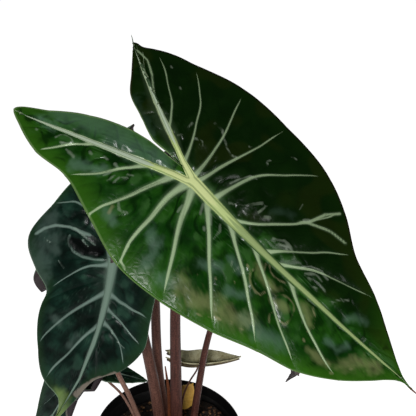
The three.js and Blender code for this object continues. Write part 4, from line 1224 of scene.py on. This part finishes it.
def stalk_path(foot, through, leaf, count=90):
    """From the foot in the soil through the given points to the back of the leaf's navel."""
    navel, _, _, up = leaf_axes(leaf)
    neck = navel - up * NECK_SHARE * (navel[2] - SOIL_TOP)
    stops = [(*foot, STALK_FOOT), (*foot, SOIL_TOP), *through, neck, navel - 0.5 * up]
    return smooth_path(stops, count)


# %% [markdown]
# Fresh stalks of this plant are mauve-brown, with a faint bloom, fine lengthwise streaks and
# darker flecks. They are a little glossy, because the skin is smooth.

# %% Stalk skin
def stalk_skin(name, pale, dark, roughness=0.5):
    material, tree, surface = new_material(name)
    plan = add(tree, "ShaderNodeUVMap", uv_map="UVMap").outputs["UV"]
    # the UV is turns round the stalk by metres along it: 40 streaks round it, each 22 mm long
    stretched = add(tree, "ShaderNodeMapping", {"Vector": plan, "Scale": (40, 45, 1)}).outputs[0]
    streaks = add(tree, "ShaderNodeTexNoise", {"Vector": stretched, "Scale": 1.0, "Detail": 4}).outputs["Fac"]
    place = add(tree, "ShaderNodeTexCoord").outputs["Object"]
    sockets = {"Vector": place, "Scale": scale_for(1.11), "Detail": 2}
    flecks = add(tree, "ShaderNodeTexNoise", sockets).outputs["Fac"]
    both = add(tree, "ShaderNodeMath", {0: streaks, 1: flecks}, operation="MULTIPLY").outputs[0]
    sockets = {"Value": both, "From Min": 0.14, "From Max": 0.4}
    lightness = add(tree, "ShaderNodeMapRange", sockets).outputs[0]
    sockets = {FACTOR: lightness, BELOW: linear(dark), ABOVE: linear(pale)}
    colour = add(tree, "ShaderNodeMix", sockets, data_type="RGBA").outputs[RESULT]
    tree.links.new(colour, surface.inputs["Base Color"])
    bump = add(tree, "ShaderNodeBump", {"Height": both, "Strength": 0.4, "Distance": 0.0003})
    tree.links.new(bump.outputs["Normal"], surface.inputs["Normal"])
    surface.inputs["Roughness"].default_value = roughness
    surface.inputs["Specular IOR Level"].default_value = 0.25
    return material


mauve_skin = stalk_skin("mauve_stalk_skin", "#7d5548", "#4a2d25")
dusky_skin = stalk_skin("dusky_stalk_skin", "#6c4238", "#3a201b")
pink_skin = stalk_skin("pinkish_stalk_skin", "#a88474", "#7a5648")
print("stalk skins:", mauve_skin.name, dusky_skin.name, pink_skin.name)

# %% [markdown]
# Each stalk is written down as its foot in the soil, the points that it passes, and its radius at
# the foot and at the top, all in millimetres.

# %% The stalks
stalks = {
    "front": ((6.5, -2), [(5.7, -4, 125), (3.9, -7, 184), (2.8, -8, 234), (4.5, -8, 286)], 5.2, 2.6),
    "second": ((-6, -1), [(-8, -2, 122), (-17.6, -4, 188), (-27, -3, 232)], 5.2, 2.9),
    "low": ((-17, 5), [(-25.8, 6, 112), (-34, 8, 134), (-43, 12, 151)], 2.2, 1.8),
    "small": ((-24, 10), [(-30, 12, 106), (-41, 20, 121), (-53, 29, 125)], 1.2, 1.0),
    "back": ((-1, 12.5), [(-10, 14, 144), (-13, 16, 192), (-14, 16, 222), (-20, 18, 262)], 4.4, 2.9),
    "right": ((18, 2.5), [(19.4, 3, 118), (23, 6, 158), (26.5, 9, 188), (36, 9, 232)], 3.4, 1.7),
    "dry": ((8, 20), [(9.4, 21, 121), (14, 25, 134)], 0.9, 0.7),
}
stalk_leaves = {"front": front_leaf, "second": second_leaf, "low": low_leaf, "small": small_leaf,
                "back": back_leaf, "right": right_leaf, "dry": dry_leaf}
stalk_skins = {"front": dusky_skin, "low": pink_skin, "small": pink_skin, "right": dusky_skin}
for number, (name, (foot, through, foot_radius, top_radius)) in enumerate(stalks.items()):
    path = stalk_path(foot, through, stalk_leaves[name])
    radii = np.linspace(foot_radius, top_radius, len(path))
    stalk = rolled_tube(name + "_petiole", path, radii, groove=0.06, seed=number * 3.1)
    slot = "dry_stalk" if name == "dry" else "stalk"
    dress(stalk, [name + "_stalk"], slot, stalk_skins.get(name, mauve_skin))
print("stalks:", len(stalks))

# %% [markdown]
# A torn sheath of an old leaf stands between the stalks. It is dry and papery: red-brown, with a
# tan foot, and rolled in on itself.

# %% Dry sheath
dry_bark = stalk_skin("dry_sheath_skin", "#9a5b38", "#4a2114", roughness=0.7)
sheath_path = smooth_path([(0.5, 4.6, 76), (0.5, 4.6, 92), (-1, 5, 136), (-4.6, 5, 166)], 60)
sheath_radii = np.interp(np.linspace(0, 1, len(sheath_path)), [0, 0.3, 0.75, 1], [2.3, 2.1, 1.3, 0.5])
sheath = rolled_tube("papery_sheath", sheath_path, sheath_radii, sides=18, flat=0.6, groove=0.45)
dress(sheath, ["dry_sheath"], "dry_sheath", dry_bark)

# %% [markdown]
# Three small things finish the leaves: the broken stub that the yellow leaf lies on, a bristle on
# the upper lobe's tip, and the dried thread at the end of the drip tip.

# %% Stub, bristle and drip thread
THREAD_POINTS = 24


def add_thread(name, path, radii, finish):
    """A thin tube along the path; radii is its radius at the start and at the end."""
    points = smooth_path(path, THREAD_POINTS)
    piece = rolled_tube(name, points, np.linspace(*radii, THREAD_POINTS), sides=10)
    piece.data.materials.append(finish)
    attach(piece, "root")
    return piece


def plan_point(leaf, x, y, lift=0.0):
    """Where a point of the leaf's plan lies in the model, in millimetres."""
    navel, along, sideways, up = leaf_axes(leaf)
    return navel + x * along + y * sideways + (blade_height(leaf, x, y) + lift) * up


stub_path = [(5, 29, 76), (5.5, 29, 94), (7.6, 29.4, 106)]
add_thread("yellow_stub", stub_path, [1.4, 1.2], yellow_top)
bristle_path = [plan_point(front_leaf, -96, -53, -0.5), plan_point(front_leaf, -99, -55.5, 0.5),
                plan_point(front_leaf, -101.5, -57, 2)]
add_thread("lobe_bristle", bristle_path, [0.45, 0.15], front_under)
drip_path = [plan_point(front_leaf, 184, 0, -0.6), plan_point(front_leaf, 189, -0.4, -0.8),
             plan_point(front_leaf, 193, -1.6, -2)]
add_thread("drip_thread", drip_path, [0.7, 0.25], dry_bark)

# %% [markdown]
# The pot is a thin moulded shell. It starts as a disc and is drawn up by extruding its edge and
# scaling each new ring: out along the tapering wall, round the rim band, over the lip and down the
# inside to the floor.

# %% Pot
POT_SIDES = 128
# each ring's radius and height, in millimetres
pot_rings = [
    (42.0, 0.0), (43.0, 0.5), (43.3, 1.4), (49.5, 44.0), (57.0, 94.0), (58.6, 94.4), (59.2, 95.4),
    (59.7, 103.6), (59.5, 104.6), (58.9, 105.0), (58.4, 104.8), (58.2, 104.2), (57.7, 95.8),
    (55.7, 93.2), (48.2, 44.0), (42.0, 2.6), (41.2, 2.0),
]
bpy.ops.object.select_all(action="DESELECT")
bpy.ops.mesh.primitive_circle_add(vertices=POT_SIDES, radius=pot_rings[0][0] * MM, fill_type="NGON")
pot = bpy.context.object
pot.name = "nursery_pot"
bpy.ops.object.mode_set(mode="EDIT")
bpy.ops.mesh.select_all(action="SELECT")
for (radius, height), (next_radius, next_height) in zip(pot_rings, pot_rings[1:]):
    step_up = (0, 0, (next_height - height) * MM)
    bpy.ops.mesh.extrude_region_move(TRANSFORM_OT_translate={"value": step_up})
    scale = next_radius / radius
    bpy.ops.transform.resize(value=(scale, scale, 1))
bpy.ops.mesh.select_all(action="SELECT")
bpy.ops.mesh.normals_make_consistent(inside=False)
bpy.ops.object.mode_set(mode="OBJECT")
print("pot rings:", len(pot_rings), "faces:", len(pot.data.polygons))

# %% [markdown]
# Holes in the floor let the water out. Each is cut by a Boolean modifier with a cylinder as drill.

# %% Drain holes
DRAIN_HOLES = 6
DRAIN_RING = 29
DRAIN_RADIUS = 4.5
for hole in range(DRAIN_HOLES):
    angle = 2 * math.pi * hole / DRAIN_HOLES
    place = (DRAIN_RING * math.cos(angle) * MM, DRAIN_RING * math.sin(angle) * MM, 1 * MM)
    bpy.ops.mesh.primitive_cylinder_add(vertices=32, radius=DRAIN_RADIUS * MM, depth=8 * MM, location=place)
    drill = bpy.context.object
    cut = pot.modifiers.new("drain", "BOOLEAN")
    cut.object = drill
    cut.solver = "EXACT"
    bpy.context.view_layer.objects.active = pot
    bpy.ops.object.modifier_apply(modifier=cut.name)
    bpy.data.objects.remove(drill)
bpy.ops.object.select_all(action="DESELECT")
pot.select_set(True)
bpy.context.view_layer.objects.active = pot
bpy.ops.object.shade_smooth_by_angle(angle=math.radians(32))

# %% [markdown]
# The plastic is injection-moulded polypropylene coloured with carbon black. It has a soft satin
# shine, faint scuffs, and a dusting of dried water and peat on the inside of the rim.

# %% Black plastic
black_plastic, tree, surface = new_material("moulded_black_polypropylene")
place = add(tree, "ShaderNodeTexCoord").outputs["Object"]
sockets = {"Vector": place, "Scale": scale_for(3.85), "Detail": 6, "Roughness": 0.7}
scuffs = add(tree, "ShaderNodeTexNoise", sockets).outputs["Fac"]
sockets = {"Value": scuffs, "From Min": 0.55, "From Max": 0.8, "To Max": 0.35}
dust = add(tree, "ShaderNodeMapRange", sockets).outputs[0]
sockets = {FACTOR: dust, BELOW: linear("#0a0a0b"), ABOVE: linear("#24221f")}
colour = add(tree, "ShaderNodeMix", sockets, data_type="RGBA").outputs[RESULT]
tree.links.new(colour, surface.inputs["Base Color"])
sockets = {"Value": scuffs, "From Min": 0.3, "From Max": 0.8, "To Min": 0.34, "To Max": 0.6}
worn = add(tree, "ShaderNodeMapRange", sockets).outputs[0]
tree.links.new(worn, surface.inputs["Roughness"])
# the mould's grain is about 0.1 mm, and is drawn coarser so that it shows
sockets = {"Vector": place, "Scale": scale_for(0.667), "Detail": 2}
grain = add(tree, "ShaderNodeTexNoise", sockets).outputs["Fac"]
bump = add(tree, "ShaderNodeBump", {"Height": grain, "Strength": 0.15, "Distance": 0.0002})
tree.links.new(bump.outputs["Normal"], surface.inputs["Normal"])
dress(pot, ["pot"], "pot", black_plastic)

# %% [markdown]
# The potting mix is dark peat with bark chips. The bed is a grid rolled into rings, pushed up and
# down by a formula and mounded up on the right, with its outer ring drawn down to the pot's floor.

# %% Soil bed
BED_SIDES = 96
BED_EDGE = 53.5
BED_FOOT, BED_BOTTOM = 41.0, 2.4
MOUND = 7.5


def bed_height(x, y):
    """The bed's height over its level at the stalks, in millimetres."""
    broad = math.sin(0.31 * x + 1) * math.cos(0.27 * y)
    lumps = noise.noise(Vector((x / 4, y / 4, 2.0)))
    crumbs = noise.noise(Vector((x / 1.6, y / 1.6, 6.0)))
    return 0.8 * broad + (1.1 * lumps + 0.6 * crumbs) + MOUND * float(smooth_step(8, 36, x))


bed_radii = np.linspace(0.5, BED_EDGE, 54)
turns = 2 * math.pi * np.arange(BED_SIDES + 1) / BED_SIDES
ground = [(r * math.cos(a), r * math.sin(a)) for r in bed_radii for a in turns]
places = np.array([(x, y, SOIL_TOP + bed_height(x, y)) for x, y in ground])
places = places.reshape(len(bed_radii), BED_SIDES + 1, 3)
foot_ring = places[-1] * BED_FOOT / BED_EDGE
foot_ring[:, 2] = BED_BOTTOM
places = np.concatenate([places, foot_ring[None]])
bed, column, row = grid_sheet("potting_mix_bed", BED_SIDES + 1, len(places))
place_vertices(bed, places[row, column] * MM)
merge_and_smooth(bed)
close_ends(bed)
print("bed faces:", len(bed.data.polygons))

# %% [markdown]
# Damp peat is nearly black, and pine bark is red-brown with pale torn faces. Both are matt and
# rough. Each chip carries one random tone, so that no two look alike.

# %% Peat and bark finishes
def crumb_finish(name, dark, middle, pale):
    material, tree, surface = new_material(name)
    place = add(tree, "ShaderNodeTexCoord").outputs["Object"]
    tone = add(tree, "ShaderNodeAttribute", attribute_name="tone").outputs["Fac"]
    sockets = {"Vector": place, "Scale": scale_for(1.43), "Detail": 5}
    fine = add(tree, "ShaderNodeTexNoise", sockets).outputs["Fac"]
    sockets = {FACTOR: tone, BELOW: linear(middle), ABOVE: linear(pale)}
    body = add(tree, "ShaderNodeMix", sockets, data_type="RGBA").outputs[RESULT]
    sockets = {"Value": fine, "From Min": 0.38, "From Max": 0.62}
    light = add(tree, "ShaderNodeMapRange", sockets).outputs[0]
    sockets = {FACTOR: light, BELOW: linear(dark), ABOVE: body}
    colour = add(tree, "ShaderNodeMix", sockets, data_type="RGBA").outputs[RESULT]
    tree.links.new(colour, surface.inputs["Base Color"])
    bump = add(tree, "ShaderNodeBump", {"Height": fine, "Strength": 0.9, "Distance": 0.0006})
    tree.links.new(bump.outputs["Normal"], surface.inputs["Normal"])
    surface.inputs["Roughness"].default_value = 0.85
    return material


peat = crumb_finish("damp_peat", "#0d0906", "#2a1c12", "#4a3422")
bark = crumb_finish("pine_bark", "#2e1a0e", "#7a5030", "#d6a673")
dress(bed, ["soil"], "soil", peat)

# %% [markdown]
# The chips and crumbs on the bed are small shapes of a few dozen faces. Each is modelled once and
# copied with a seeded random place, turn, size and tone, and all copies of it are joined.

# %% Chips and crumbs
CHIP_WIDTH = 0.62
CHIP_ROUGHNESS = 0.28
random = np.random.default_rng(11)


def chip_shape(name, size, bevel, squash):
    """One chip: a cube drawn out, cut by a bevel and roughened with lumps of 1.4 mm."""
    bpy.ops.object.select_all(action="DESELECT")
    bpy.ops.mesh.primitive_cube_add(size=1)
    chip = bpy.context.object
    chip.name = name
    bpy.ops.object.mode_set(mode="EDIT")
    bpy.ops.transform.resize(value=(size * MM, size * CHIP_WIDTH * MM, size * squash * MM))
    bpy.ops.mesh.bevel(offset=bevel * MM, segments=1)
    bpy.ops.mesh.subdivide(number_cuts=1)
    bpy.ops.object.mode_set(mode="OBJECT")
    for vertex in chip.data.vertices:
        lump = noise.noise(vertex.co * scale_for(1.43) + Vector((size, 0, 0)))
        vertex.co *= 1 + CHIP_ROUGHNESS * lump
    return chip


def scatter(name, model, count, reach, heights, sizes, finish):
    """Copies the model over the bed, each with its own mesh, and joins them into one piece."""
    copies = []
    while len(copies) < count:
        radius, angle = reach * math.sqrt(random.random()), 2 * math.pi * random.random()
        x, y = radius * math.cos(angle), radius * math.sin(angle)
        z = SOIL_TOP + bed_height(x, y) + random.uniform(*heights)
        turn = Matrix.Rotation(random.uniform(0, 6.28), 4, "Z")
        turn = turn @ Matrix.Rotation(random.uniform(-0.7, 0.7), 4, "X")
        turn = turn @ Matrix.Rotation(random.uniform(-0.6, 0.6), 4, "Y")
        place = Matrix.Translation(Vector((x, y, z)) * MM) @ turn @ Matrix.Scale(random.uniform(*sizes), 4)
        copy = bpy.data.objects.new(name, model.data.copy())
        bpy.context.scene.collection.objects.link(copy)
        copy.data.transform(place)
        store(copy, "tone", np.full(len(copy.data.vertices), random.random() ** 2))
        copies.append(copy)
    bpy.ops.object.select_all(action="DESELECT")
    for copy in copies:
        copy.select_set(True)
    bpy.context.view_layer.objects.active = copies[0]
    bpy.ops.object.join()
    piece = bpy.context.object
    piece.name = name
    piece.data.materials.append(finish)
    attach(piece, "root")
    bpy.data.objects.remove(model)
    print(name, "copies:", count, "faces:", len(piece.data.polygons))
    return piece


chip = chip_shape("chip", size=5.2, bevel=0.8, squash=0.3)
scatter("bark_chips", chip, count=110, reach=50, heights=(0.1, 1.0), sizes=(0.5, 1.2), finish=bark)
crumb = chip_shape("crumb", size=2.4, bevel=0.5, squash=0.6)
scatter("bark_crumbs", crumb, count=320, reach=52, heights=(0.0, 0.7), sizes=(0.4, 1.3), finish=bark)
clod = chip_shape("clod", size=2.6, bevel=0.6, squash=0.8)
scatter("peat_crumbs", clod, count=420, reach=52, heights=(-0.2, 0.6), sizes=(0.5, 1.6), finish=peat)
